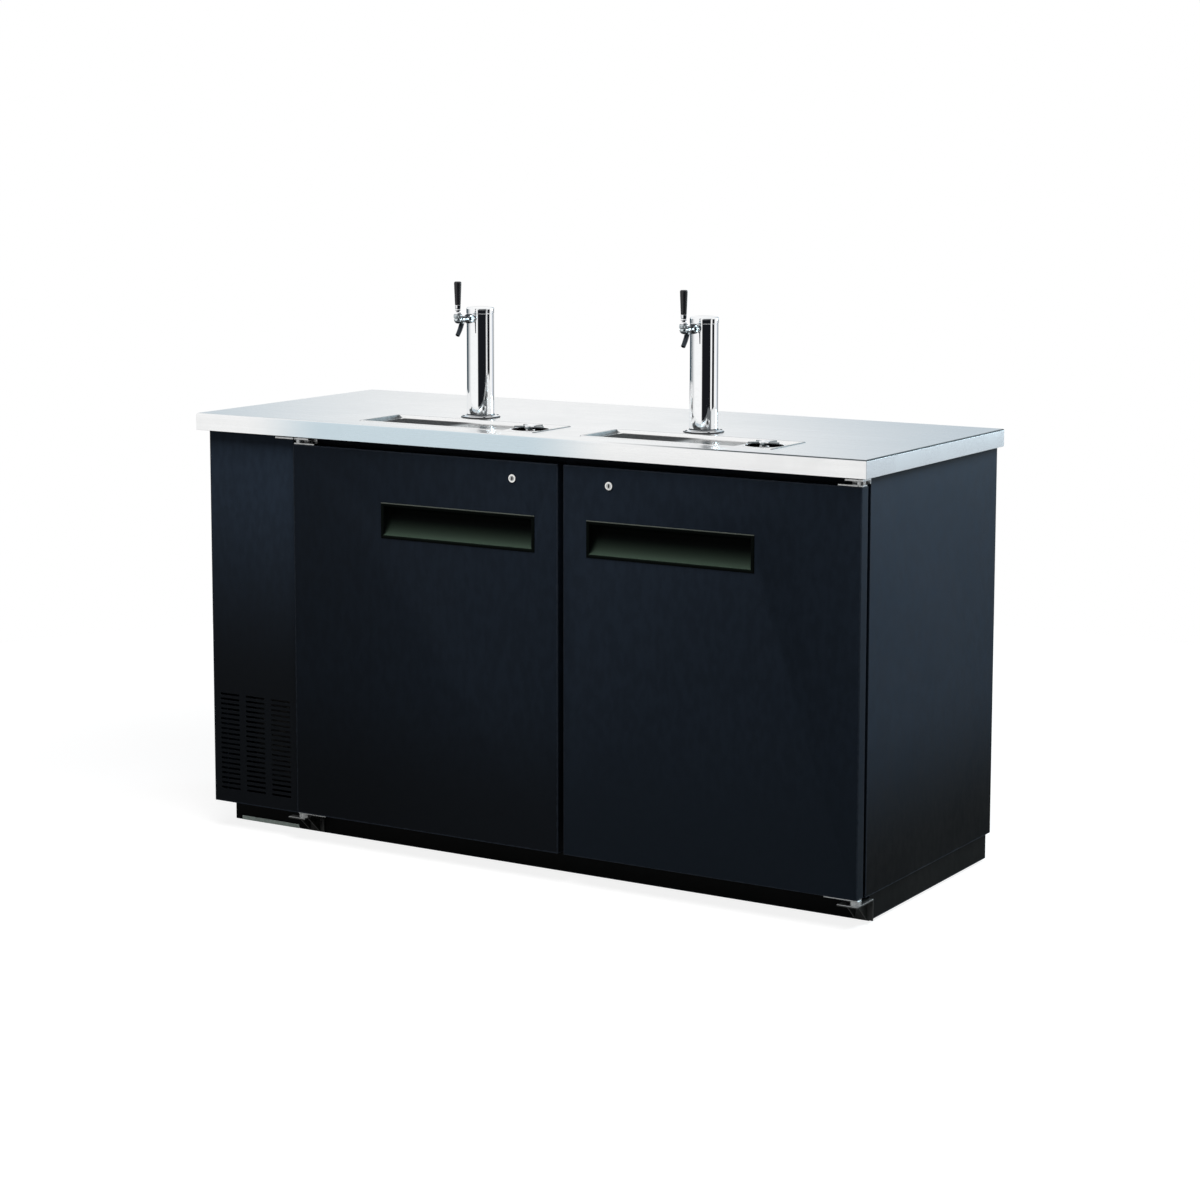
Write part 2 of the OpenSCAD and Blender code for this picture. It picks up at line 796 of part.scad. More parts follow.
module fan_shroud() {
    half = condenser_w / 2 - 8;
    arm_in = fan_r + fan_gap + 2;
    arm_out = arm_in + shroud_t;
    y1 = y_shroud + shroud_t;
    z0 = z_fan - arm_half;
    z1 = z_fan + arm_half;
    color(galvanised) {
        difference() {
            block([x_unit - half, y_shroud, z_condenser], [x_unit + half, y1, z_condenser + condenser_h]);
            rod_y(x_unit, z_fan, fan_r + fan_gap, y_shroud - over, y1 + over);
        }
        for (x = [-arm_out, arm_in]) block([x_unit + x, y1, z0], [x_unit + x + shroud_t, y_motor, z1]);
        block([x_unit - arm_out, y_motor, z0], [x_unit + arm_out, y_motor + shroud_t, z1]);
    }
}

// A motor along Z with a bore for the fan's shaft in its front
module motor(l) {
    nose_r = motor_r - 20;
    shoulder_r = motor_r - 12;
    back_wall = 6;
    difference() {
        rotate_extrude() {
            polygon([[0, 0], [motor_r, 0], [motor_r, l - 8], [shoulder_r, l - 4], [nose_r, l], [0, l]]);
        }
        translate([0, 0, back_wall]) cylinder(h = l, r = fan_shaft_r + run_gap);
    }
}

module fan_motors() {
    plate_half = [60, 20];
    color(galvanised) {
        translate([x_unit, y_motor, z_fan]) rotate([90, 0, 0]) motor(motor_l);
        translate([x_motor, y_evaporator, z_evaporator_fan]) rotate([0, 90, 0]) motor(evaporator_motor_l);
        block([x_coil1, y_evaporator - plate_half[0], z_evaporator_fan - plate_half[1]],
            [x_motor, y_evaporator + plate_half[0], z_evaporator_fan + plate_half[1]]);
    }
}

// A fan along Z: hub, pitched blades trimmed to a circle, and a shaft towards -Z
module fan(shaft_l) {
    blade_w = 62;
    blade_t = 1.6;
    pitch = 28;
    root = hub_r - 3;
    cylinder(h = fan_h, r = hub_r);
    translate([0, 0, -shaft_l]) cylinder(h = shaft_l, r = fan_shaft_r);
    intersection() {
        cylinder(h = fan_h, r = fan_r);
        for (i = [0 : fan_blades - 1]) {
            rotate(i * 360 / fan_blades) translate([root, 0, fan_h / 2]) rotate([pitch, 0, 0])
                translate([0, -blade_w / 2, -blade_t / 2]) cube([fan_r, blade_w, blade_t]);
        }
    }
}

module condenser_fan() {
    y_fan = y_shroud + shroud_t + fan_h;
    color(black_plastic) translate([x_unit, y_fan, z_fan]) rotate([90, 0, 0]) fan(fan_shaft_l);
}

module evaporator_fan() {
    x_fan = x_motor + evaporator_motor_l + motor_gap;
    color(black_plastic) translate([x_fan, y_evaporator, z_evaporator_fan]) rotate([0, 90, 0])
        fan(fan_shaft_l);
}

module evaporator_housing() {
    lo = [x_room0, y_evaporator - evaporator_w / 2, z_evaporator];
    hi = [x_room0 + evaporator_d, y_evaporator + evaporator_w / 2, z_evaporator + evaporator_h];
    wall = [housing_t, housing_t, housing_t];
    vent_edge = 30;
    color(stainless) difference() {
        block(lo, hi);
        block([lo[0] - over, lo[1] + housing_t, lo[2] + housing_t], hi - wall);
        rod_x(y_evaporator, z_evaporator_fan, fan_r + fan_gap, hi[0] - housing_t - over, hi[0] + over);
        block([x_coil0, lo[1] + vent_edge, lo[2] - over],
            [hi[0] - vent_edge, hi[1] - vent_edge, lo[2] + housing_t + over]);
    }
}

module evaporator_coil() {
    side_room = 8;
    fin_room = 12;
    plate_room = 8;
    plate_y = 2;
    y0 = y_evaporator - evaporator_w / 2 + housing_t + side_room;
    y1 = y_evaporator + evaporator_w / 2 - housing_t - side_room;
    z1 = z_evaporator + evaporator_h;
    color(galvanised) {
        block([x_coil0, y0, z_evaporator + fin_room], [x_coil1, y1, z1 - fin_room]);
        for (y = [y0 - plate_y, y1]) {
            block([x_room0, y, z_evaporator + plate_room], [x_coil1, y + plate_y, z1 - plate_room]);
        }
    }
}

module refrigerant_lines() {
    x_rise = x_bulk - 24;
    x_liquid = x_unit - 60;
    coil_top = z_condenser + condenser_h;
    z_gas = coil_top + 40;
    z_liquid = coil_top + 80;
    y_coil = y_condenser + coil_t / 2;
    color(copper) {
        copper_line([[discharge[0], discharge[1], z_stub], [discharge[0], discharge[1], z_gas],
            [discharge[0], y_coil, z_gas], [discharge[0], y_coil, coil_top]]);
        copper_line([[x_liquid, y_coil, coil_top], [x_liquid, y_coil, z_liquid], [x_rise, y_coil, z_liquid],
            [x_rise, y_coil, z_lines], [x_rise, line_ys[0], z_lines], [x_coil0, line_ys[0], z_lines]]);
        copper_line([[suction[0], suction[1], z_stub], [suction[0], suction[1], z_lines],
            [suction[0], line_ys[1], z_lines], [x_coil0, line_ys[1], z_lines]]);
    }
}

// The holes through a pan's floor over its drain
module strainer_holes(drain) {
    hole_r = 1.5;
    holes = 6;
    ring_r = drain_d / 2 - drain_wall - hole_r - over;
    for (i = [0 : holes]) {
        at = i == 0 ? [0, 0] : ring_r * [cos(i * 360 / holes), sin(i * 360 / holes)];
        rod_z(drain[0] + at[0], drain[1] + at[1], hole_r, sump_z - pan_t - over, sump_z + over);
    }
}

module drip_pan(x) {
    lo = [tray_x(x), tray_y0];
    hi = [tray_x(x) + tray_w, tray_y1];
    in = tray_rim;
    low = in + ledge_w + pan_t;
    drain = [lo[0] + drain_from_end, hi[1] - drain_from_rear];
    corner_r = 6;
    color(stainless) difference() {
        union() {
            translate([0, 0, z_top]) linear_extrude(frame_t) round_rect(lo, hi, corner_r);
            block([lo[0] + in, lo[1] + in, sump_z - pan_t], [hi[0] - in, hi[1] - in, z_top]);
            rod_z(drain[0], drain[1], drain_d / 2 + drain_step, z_ceiling, sump_z);
            rod_z(drain[0], drain[1], drain_d / 2, z_ceiling - drain_end_l, sump_z);
        }
        tapered_block([lo[0] + in, lo[1] + in, grate_z0],
            [hi[0] - in, hi[1] - in, z_top + frame_t + over], pan_draw);
        block([lo[0] + low, lo[1] + low, sump_z], [hi[0] - low, hi[1] - low, z_top]);
        rod_z(drain[0], drain[1], drain_d / 2 - drain_wall, z_ceiling - drain_end_l - over, sump_z - pan_t);
        strainer_holes(drain);
    }
}

module drip_grate(x) {
    edge = tray_rim + pan_draw + grate_gap;
    margin = 13;
    corner_r = 5;
    lo = [tray_x(x) + edge, tray_y0 + edge];
    hi = [tray_x(x) + tray_w - edge, tray_y1 - edge];
    slot_x0 = lo[0] + margin;
    slot_x1 = rinser_x(x) - rinser_d / 2 - margin;
    count = floor((slot_x1 - slot_x0) / grate_pitch);
    color(stainless) difference() {
        translate([0, 0, grate_z0 + fit_gap]) linear_extrude(grate_t - fit_gap) round_rect(lo, hi, corner_r);
        rod_z(rinser_x(x), rinser_y, rinser_d / 2 + grate_gap, grate_z0 - over, z_top);
        for (i = [0 : count - 1]) {
            x0 = slot_x0 + i * grate_pitch;
            block([x0, rinser_y - grate_slot_l / 2, grate_z0 - over],
                [x0 + grate_slot_w, rinser_y + grate_slot_l / 2, z_top]);
        }
    }
}

module rinser_bodies() {
    r = rinser_d / 2;
    wall = 2;
    bottom = 4;
    rim_z = sump_h - 2;
    post_z = sump_h + star_rise - star_t - rinser_travel - 1;
    color(chrome) for (x = tower_xs) translate([rinser_x(x), rinser_y, sump_z]) difference() {
        rotate_extrude() {
            polygon([[0, 0], [r, 0], [r, rim_z], [r - wall, rim_z], [r - wall, bottom], [post_r, bottom],
                [post_r, post_z], [0, post_z]]);
        }
        translate([0, 0, wall]) cylinder(h = sump_h, r = stem_r + run_gap);
    }
}

module rinser_star(x) {
    star_room = 8;
    r = rinser_d / 2 - star_room;
    arm_w = 8;
    arms = 5;
    arm_l = r - arm_w / 2;
    stem_l = sump_h + star_rise - star_t - rinser_travel - 4;
    color(black_plastic) translate([rinser_x(x), rinser_y, z_top + star_rise - star_t]) {
        cylinder(h = star_t, r = post_r);
        for (i = [0 : arms - 1]) rotate(i * 360 / arms) {
            translate([0, -arm_w / 2, 0]) cube([arm_l, arm_w, star_t]);
            translate([arm_l, 0, 0]) cylinder(h = star_t, r = arm_w / 2);
        }
        translate([0, 0, -stem_l]) cylinder(h = stem_l, r = stem_r);
    }
}

module tower_flanges() {
    r = flange_d / 2;
    inner = tower_r - tower_wall - fit_gap;
    spigot_z = flange_t + 12;
    color(chrome) for (x = tower_xs) translate([x, y_tower, z_top]) rotate_extrude() {
        polygon([[duct_d / 2, 0], [r, 0], [r, flange_t - 2], [r - 4, flange_t], [inner, flange_t],
            [inner, spigot_z], [duct_d / 2, spigot_z]]);
    }
}

module tower_column(x) {
    color(chrome) difference() {
        rod_z(x, y_tower, tower_r, z_top + flange_t, z_tower - cap_h);
        rod_z(x, y_tower, tower_r - tower_wall, z_top + flange_t - over, z_tower - cap_h + over);
        rod_y(x, z_tap, shank_d / 2 + run_gap, y_tower - tower_r - over, y_tower);
    }
}

module tower_caps() {
    inner = tower_r - tower_wall - fit_gap;
    outer = tower_r + 0.6;
    bevel = 3;
    color(chrome) for (x = tower_xs) translate([x, y_tower, z_tower - cap_h]) rotate_extrude() {
        polygon([[0, -cap_plug_l], [inner, -cap_plug_l], [inner, 0], [outer, 0], [outer, cap_h - bevel],
            [outer - bevel, cap_h], [0, cap_h]]);
    }
}

module faucet_shanks() {
    bore_r = valve_bore_d / 2;
    tail_end_r = 5;
    tail_wall = 2;
    elbow_r = shank_d / 2 - 0.6;
    boss_r = elbow_r - 0.6;
    boss_l = elbow_r + 8;
    tail_l = 34;
    collar_root = 8;
    color(chrome) for (x = tower_xs) on_tap(x) difference() {
        union() {
            cylinder(h = coupling_z, d = shank_d);
            sphere(r = elbow_r);
            rotate([90, 0, 0]) cylinder(h = boss_l, r = boss_r);
            rotate([90, 0, 0]) cylinder(h = boss_l + tail_l, r = tail_end_r);
            difference() {
                translate([0, 0, tower_r - collar_root]) cylinder(h = collar_l + collar_root, d = collar_d);
                rotate([90, 0, 0]) cylinder(h = collar_d + 2 * over, r = tower_r + run_gap, center = true);
            }
        }
        cylinder(h = coupling_z + over, r = bore_r);
        rotate([90, 0, 0]) cylinder(h = boss_l + tail_l + over, r = tail_end_r - tail_wall);
    }
}

// Places a piece on the spout's axis, with Z along it
module along_spout() {
    translate([0, spout_y, spout_z]) rotate([90 - spout_tilt, 0, 0]) children();
}

module faucet_body(x) {
    bore_r = valve_bore_d / 2;
    ring_r = coupling_d / 2;
    barrel_r = barrel_d / 2;
    barrel_l = tap_reach - coupling_z;
    neck_r = barrel_r - 1;
    bonnet_r = chamber_r + 1.5;
    tail_room = tail_r + 1;
    swing = pivot_h * sin(lever_swing) + tail_room;
    bore_past = 7;
    spout_wall = 1.5;
    outlet_l = 22;
    grips = 14;
    grip_r = 1.4;
    grip_at = bonnet_r + 0.7;
    color(chrome) on_tap(x) difference() {
        union() {
            translate([0, 0, coupling_z]) rotate_extrude() {
                polygon([[0, 0], [ring_r - 1, 0], [ring_r, 1], [ring_r, coupling_l - 1],
                    [ring_r - 1, coupling_l], [neck_r, coupling_l + 3], [neck_r, coupling_l + 8],
                    [barrel_r, barrel_l - 14], [barrel_r, barrel_l], [0, barrel_l]]);
            }
            translate([0, 0, tap_reach]) sphere(r = chamber_r);
            translate([0, 0, tap_reach]) rotate([-90, 0, 0]) cylinder(h = pivot_h - bonnet_h, r = chamber_r);
            translate([0, pivot_h - bonnet_h, tap_reach]) rotate([-90, 0, 0]) rotate_extrude() {
                polygon([[0, 0], [bonnet_r, 0], [bonnet_r, bonnet_h - 2], [chamber_r - 1, bonnet_h],
                    [0, bonnet_h]]);
            }
            along_spout() cylinder(h = spout_l, r1 = barrel_r - 2, r2 = spout_d / 2);
        }
        translate([0, 0, coupling_z - over]) cylinder(h = barrel_l + bore_past + over, r = bore_r);
        translate([0, pivot_h, tap_reach]) sphere(r = ball_d / 2 + ball_gap);
        block([-tail_room, 0, tap_reach - swing], [tail_room, pivot_h, tap_reach + tail_room]);
        along_spout() translate([0, 0, spout_l - outlet_l]) {
            cylinder(h = outlet_l + over, r = spout_d / 2 - spout_wall);
        }
        for (i = [0 : grips - 1]) {
            translate([0, pivot_h - bonnet_h - over, tap_reach]) rotate([-90, 0, 0]) rotate(i * 360 / grips)
                translate([grip_at, 0, 0]) cylinder(h = bonnet_h, r = grip_r);
        }
    }
}

module faucet_lever(x) {
    neck_r = 4;
    tail_rod_r = tail_r - 0.6;
    low = handle_low_d / 2;
    color(chrome) on_tap(x) translate([0, 0, tap_reach]) rotate([-90, 0, 0]) {
        translate([0, 0, pivot_h]) sphere(d = ball_d);
        cylinder(h = pivot_h, r = tail_rod_r);
        sphere(r = tail_r);
        translate([0, 0, pivot_h]) cylinder(h = ball_d / 2, r = neck_r);
        translate([0, 0, ferrule_y]) rotate_extrude() {
            polygon([[0, 0], [neck_r, 0], [low, 2], [low - 0.6, 4], [low + 0.4, ferrule_l], [0, ferrule_l]]);
        }
        translate([0, 0, handle_y]) cylinder(h = stud_l, r = stud_r);
    }
}

module tap_handle(x) {
    low = handle_low_d / 2;
    top = handle_top_d / 2;
    color(black_plastic) on_tap(x) translate([0, handle_y, tap_reach]) rotate([-90, 0, 0]) difference() {
        rotate_extrude() {
            polygon([[0, 0], [low, 0], [low + 0.2, 4], [top - 0.4, handle_l - 6], [top, handle_l - 3],
                [top - 1, handle_l - 0.8], [top - 3.2, handle_l], [0, handle_l]]);
        }
        translate([0, 0, -over]) cylinder(h = stud_l + 2 * over, r = stud_r + run_gap);
    }
}

module valve_shaft(x) {
    r = valve_bore_d / 2 - 0.35;
    rod_r = 2.8;
    half_slot = tail_r + valve_slot;
    block_l = half_slot + 3;
    flat_y = 3;
    seal_z = coupling_z + 2;
    seal_l = 4;
    color(galvanised) on_tap(x) {
        difference() {
            translate([0, 0, tap_reach - block_l]) cylinder(h = 2 * block_l - 1, r = r);
            block([-half_slot, -half_slot, tap_reach - half_slot],
                [half_slot, r + over, tap_reach + half_slot]);
            block([-r - over, flat_y, tap_reach - block_l - over], [r + over, r + over, tap_reach + block_l]);
        }
        translate([0, 0, seal_z]) cylinder(h = tap_reach - block_l - seal_z, r = rod_r);
        translate([0, 0, seal_z]) cylinder(h = seal_l, r = r - fit_gap);
    }
}

module door_panel(side) {
    color(black_paint) on_door(side) difference() {
        translate([0, 0, z_door0]) linear_extrude(z_door1 - z_door0) {
            round_rect([0, y_door], [door_w, y_leaf1], door_edge_r);
            translate([0, y_hinge]) square([door_w, y_leaf1 - y_hinge]);
        }
        block([cup_lo[0] + cup_in - fit_gap, y_door - over, cup_lo[1] + cup_in - fit_gap],
            [cup_hi[0] - cup_in + fit_gap, y_cup + fit_gap, cup_hi[1] - cup_in + fit_gap]);
        rod_y(lock_x, z_lock, lock_d / 2 + run_gap, y_door - over, y_leaf1 + over);
    }
}

module door_liner(side) {
    edge = [liner_edge, liner_edge];
    corner_r = 10;
    color(liner_grey) on_door(side) difference() {
        along_y(y_leaf1, y_leaf1 + liner_t) round_rect(gasket_lo + edge, gasket_hi - edge, corner_r);
        rod_y(lock_x, z_lock, lock_d / 2 + run_gap, y_leaf1 - over, y_leaf1 + liner_t + over);
    }
}

// A ring of the gasket, drawn in from its outer edge
module gasket_ring(draw, w) {
    corner_r = 4;
    outer = [draw, draw];
    inner = [draw + w, draw + w];
    difference() {
        round_rect(gasket_lo + outer, gasket_hi - outer, corner_r);
        round_rect(gasket_lo + inner, gasket_hi - inner, corner_r);
    }
}

module door_gasket(side) {
    root_t = 3;
    draw = 4;
    color(black_plastic) on_door(side) {
        along_y(y_leaf1, y_leaf1 + root_t) gasket_ring(0, gasket_w);
        along_y(y_leaf1 + root_t, y_face - gasket_gap) gasket_ring(draw, gasket_w - 2 * draw);
    }
}

module handle_cup(side) {
    lo = cup_lo + [cup_rim, cup_rim];
    hi = cup_hi - [cup_rim, cup_rim];
    ramp_top = lo[1] + (hi[1] - lo[1]) * 0.55;
    ramp_lip = 2;
    corner_r = 5;
    y_back = y_cup - cup_wall;
    y_out = y_door - cup_rim_t - over;
    color(black_plastic) on_door(side) difference() {
        union() {
            along_y(y_door - cup_rim_t, y_door) round_rect(cup_lo, cup_hi, corner_r);
            block([cup_lo[0] + cup_in, y_door, cup_lo[1] + cup_in],
                [cup_hi[0] - cup_in, y_cup, cup_hi[1] - cup_in]);
        }
        along_x(lo[0], hi[0]) {
            polygon([[y_out, lo[1]], [y_door, lo[1] + ramp_lip], [y_back, ramp_top], [y_back, hi[1]],
                [y_out, hi[1]]]);
        }
    }
}

module lock_cylinder(side) {
    bezel_t = 2.5;
    bezel_w = 1.2;
    y_end = y_leaf1 + liner_t + lock_past;
    color(chrome) on_door(side) difference() {
        union() {
            rod_y(lock_x, z_lock, lock_d / 2, y_door, y_end);
            rod_y(lock_x, z_lock, lock_d / 2 + bezel_w, y_door - bezel_t, y_door);
        }
        rod_y(lock_x, z_lock, plug_d / 2 + run_gap, y_door - bezel_t - over, y_end + over);
    }
}

module lock_plug(side) {
    face = 2;
    key_w = 2;
    key_h = 6.5;
    key_depth = 12;
    color(chrome) on_door(side) difference() {
        union() {
            rod_y(lock_x, z_lock, plug_d / 2, y_door - face, y_leaf1 + liner_t + lock_past + over);
            rod_y(lock_x, z_lock, lock_tail_d / 2, y_leaf1 + liner_t, y_cam);
            along_y(y_cam, y_cam + cam_t) {
                translate([lock_x - cam_l, z_lock - cam_w / 2]) square([cam_l, cam_w]);
                translate([lock_x, z_lock]) circle(cam_w / 2);
            }
        }
        block([lock_x - key_w / 2, y_door - face - over, z_lock - key_h / 2],
            [lock_x + key_w / 2, y_door - face + key_depth, z_lock + key_h / 2]);
    }
}

module hinge_straps(side) {
    bore_r = pin_d / 2 + run_gap;
    half = strap_w / 2;
    edge = 1;
    color(chrome) on_door(side) difference() {
        union() {
            block([edge, y_hinge - half, z_door1], [hinge_in + upper_strap_l, y_hinge + half, z_upper_strap]);
            rod_z(hinge_in, y_hinge, upper_knuckle_d / 2, z_upper_strap, z_upper_bracket - knuckle_gap);
            block([edge, y_hinge - half, z_lower_strap], [hinge_in + lower_strap_l, y_hinge + half, z_door0]);
            rod_z(hinge_in, y_hinge, lower_knuckle_d / 2, z_lower_bracket + knuckle_gap, z_lower_strap);
        }
        rod_z(hinge_in, y_hinge, bore_r, z_door1 - over, z_under);
        rod_z(hinge_in, y_hinge, bore_r, z_lower_bracket - over, z_door0 + over);
    }
}

module hinge_brackets() {
    bore_r = pin_d / 2 + pin_fit;
    front = 11;
    leg_w = 42;
    strip_w = 12;
    y_panel = y_face - panel_d;
    color(chrome) {
        for (side = [1, -1]) on_door(side) difference() {
            union() {
                block([0, y_hinge - front, z_upper_bracket], [leg_w, y_face, z_upper_bracket + bracket_t]);
                block([0, y_face - bracket_leg_t, z_upper_strap], [leg_w, y_face, z_upper_bracket]);
                if (side > 0) {
                    block([-strip_l, y_panel - strip_w - strip_gap, z_upper_bracket],
                        [0, y_panel - strip_gap, z_upper_bracket + bracket_t]);
                }
            }
            rod_z(hinge_in, y_hinge, bore_r, z_upper_bracket - over, z_under);
        }
        for (x = [door_x0 + hinge_in, x_side - hinge_in]) lower_bracket(x, bore_r);
    }
}

// The lower bracket stands on the base's front, with two gussets under its plate
module lower_bracket(x, bore_r) {
    first_gusset = x - 4;
    x0 = x - gusset_pitch - 10;
    x1 = x + hinge_in;
    y_leg = y_base0 - bracket_leg_t;
    z0 = z_base + 2;
    z1 = z_lower_bracket - bracket_t;
    difference() {
        union() {
            block([x0, y_hinge - lower_knuckle_d / 2, z1], [x1, y_base0, z_lower_bracket]);
            block([x0, y_leg, z0], [x1, y_base0, z1]);
            for (gx = [first_gusset, first_gusset - gusset_pitch]) {
                along_x(gx - gusset_t / 2, gx + gusset_t / 2) {
                    polygon([[y_leg - gusset_d, z1], [y_leg, z0], [y_leg, z1]]);
                }
            }
        }
        rod_z(x, y_hinge, bore_r, z1 - over, z_lower_bracket + over);
    }
}

module hinge_pins() {
    head_t = 2;
    head_r = pin_d / 2 + 2;
    end_gap = 0.3;
    z_upper_head = z_upper_bracket + bracket_t;
    z_lower_head = z_lower_bracket - bracket_t;
    color(galvanised) for (x = [door_x0 + hinge_in, x_side - hinge_in]) {
        rod_z(x, y_hinge, pin_d / 2, z_door1 + end_gap, z_upper_head);
        rod_z(x, y_hinge, head_r, z_upper_head, z_upper_head + head_t);
        rod_z(x, y_hinge, pin_d / 2, z_lower_head, z_door0 - end_gap);
        rod_z(x, y_hinge, head_r, z_lower_head - head_t, z_lower_head);
    }
}

base_frame();
levelling_feet();
unit_tray();
floor_panel();
right_side_panel();
left_side_panel();
bulkhead_panel();
rear_panel();
rear_vent_cover();
header_rail();
center_mullion();
ceiling_panel();
counter_core();
countertop();
grille_panel();
compressor();
condenser_coil();
fan_shroud();
fan_motors();
evaporator_housing();
evaporator_coil();
refrigerant_lines();
drip_pan(tower_xs[0]);  // drip_pan_left
drip_pan(tower_xs[1]);  // drip_pan_right
rinser_bodies();
tower_flanges();
tower_column(tower_xs[0]);  // tower_column_left
tower_column(tower_xs[1]);  // tower_column_right
tower_caps();
faucet_shanks();
faucet_body(tower_xs[0]);  // faucet_body_left
faucet_body(tower_xs[1]);  // faucet_body_right
hinge_brackets();
hinge_pins();
condenser_fan();
evaporator_fan();
drip_grate(tower_xs[0]);  // drip_grate_left
drip_grate(tower_xs[1]);  // drip_grate_right
rinser_star(tower_xs[0]);  // rinser_star_left
rinser_star(tower_xs[1]);  // rinser_star_right
faucet_lever(tower_xs[0]);  // faucet_lever_left
faucet_lever(tower_xs[1]);  // faucet_lever_right
tap_handle(tower_xs[0]);  // tap_handle_left
tap_handle(tower_xs[1]);  // tap_handle_right
valve_shaft(tower_xs[0]);  // valve_shaft_left
valve_shaft(tower_xs[1]);  // valve_shaft_right
door_panel(1);  // door_panel_left
door_panel(-1);  // door_panel_right
door_liner(1);  // door_liner_left
door_liner(-1);  // door_liner_right
door_gasket(1);  // door_gasket_left
door_gasket(-1);  // door_gasket_right
handle_cup(1);  // handle_cup_left
handle_cup(-1);  // handle_cup_right
lock_cylinder(1);  // lock_cylinder_left
lock_cylinder(-1);  // lock_cylinder_right
lock_plug(1);  // lock_plug_left
lock_plug(-1);  // lock_plug_right
hinge_straps(1);  // hinge_straps_left
hinge_straps(-1);  // hinge_straps_right
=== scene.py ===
import json
import math

import bmesh
import bpy
import numpy as np
from mathutils import Matrix, Vector


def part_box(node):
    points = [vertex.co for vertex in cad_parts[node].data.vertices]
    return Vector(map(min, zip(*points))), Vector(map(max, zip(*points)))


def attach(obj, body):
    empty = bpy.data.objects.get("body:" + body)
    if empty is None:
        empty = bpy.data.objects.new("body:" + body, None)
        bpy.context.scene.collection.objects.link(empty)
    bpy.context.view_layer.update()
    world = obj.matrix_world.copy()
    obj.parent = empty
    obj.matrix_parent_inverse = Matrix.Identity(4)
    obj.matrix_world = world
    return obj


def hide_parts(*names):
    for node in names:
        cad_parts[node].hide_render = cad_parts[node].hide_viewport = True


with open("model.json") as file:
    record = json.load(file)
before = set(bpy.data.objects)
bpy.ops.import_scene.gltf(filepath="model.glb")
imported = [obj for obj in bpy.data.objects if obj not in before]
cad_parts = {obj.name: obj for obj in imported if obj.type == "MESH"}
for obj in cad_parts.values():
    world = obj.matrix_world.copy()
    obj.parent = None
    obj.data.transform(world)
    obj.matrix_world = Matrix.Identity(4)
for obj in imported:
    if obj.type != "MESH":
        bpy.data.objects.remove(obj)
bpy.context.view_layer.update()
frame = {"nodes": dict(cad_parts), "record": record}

MM = 0.001
SIDES = ("left", "right")
BODY_OF = {node: body for body, nodes in frame["record"]["behaviour"]["bodies"].items() for node in nodes}
SLOT_OF = {row["node"]: row["material_slot"] for row in frame["record"]["subparts"]}

# Edges sharper than this many degrees stay sharp, or are eased
CREASE = 32

# The camera, fitted to the photograph's straight edges
CAMERA_PLACE = (3.3964, -5.4947, 1.6867)
CAMERA_AZIMUTH = math.radians(30.933)
CAMERA_PITCH = math.radians(7.249)
CAMERA_ROLL = math.radians(0.15)
CAMERA_LENS = 84.49
CAMERA_SENSOR = 36.0
CAMERA_SHIFT = (-0.0244, -0.10)
CAMERA_REACH = 100.0

# The studio: what soft light reaches matt surfaces, and the flags that polished metal shows
WHITE = (1.0, 1.0, 1.0)
ROOM_LEVEL = 0.10
FLOOR_RADIUS = 3.2
FLOOR_SEGMENTS = 96
FLOOR_TONE = 0.32
FLOOR_LIFT = 0.86
FLOOR_LIFT_IN_METAL = 0.12
# Flags as from and to in degrees round the object, softness and colour: the low ones show in upright metal
# and the high ones in faces that look up
LOW_FLAGS = (
    (-160, -76, 30.0, (0.05, 0.08, 0.10)),
    (12, 82, 2.5, (0.010, 0.011, 0.014)),
    (96, 118, 1.5, (0.010, 0.011, 0.014)),
    (146, 160, 2.0, (0.72, 0.76, 0.84)),
    (162, 178, 2.0, (0.10, 0.13, 0.15)),
)
HIGH_FLAGS = (
    (-180, -153, 4.0, (0.52, 0.61, 0.68)),
    (-142, -128, 4.0, (0.50, 0.60, 0.67)),
    (20, 90, 6.0, (0.05, 0.06, 0.07)),
    (138, 168, 5.0, (0.30, 0.34, 0.36)),
)

# Finishes, in linear colour
VINYL = (0.0096, 0.0142, 0.0218)
VINYL_WORN = (0.022, 0.028, 0.038)
BASE_BLACK = (0.0040, 0.0045, 0.0046)
LOCK_PLATE = (0.86, 0.86, 0.84)
STEEL = (0.94, 0.945, 0.945)
# Painted reflection and shade on the counter: a dimmer front band, a shaded right end and a dark line on the
# bends
STEEL_FRONT_PAINTED_DIM = (0.60, 0.71, 0.77)
STEEL_END_PAINTED_SHADE = (0.59, 0.605, 0.61)
STEEL_FOLD_PAINTED_LINE = (0.16, 0.19, 0.21)
TRAY_STEEL = (0.93, 0.935, 0.935)
CHROME = (0.93, 0.94, 0.95)
CHROME_SHADE = (0.035, 0.042, 0.050)
TAP_CHROME = (0.62, 0.68, 0.70)
HINGE_BLACK = (0.010, 0.011, 0.010)
# Painted shade on the drip pans' frame edges and right-facing slopes, and down in the sumps, grates and
# rinser bowls
FRAME_EDGE_PAINTED_SHADE = (0.22, 0.25, 0.26)
FRAME_SLOPE_PAINTED_SHADE = (0.30, 0.32, 0.33)
SUMP_PAINTED_SHADE = (0.012, 0.014, 0.016)
CUP_BLACK = (0.0020, 0.0030, 0.0026)
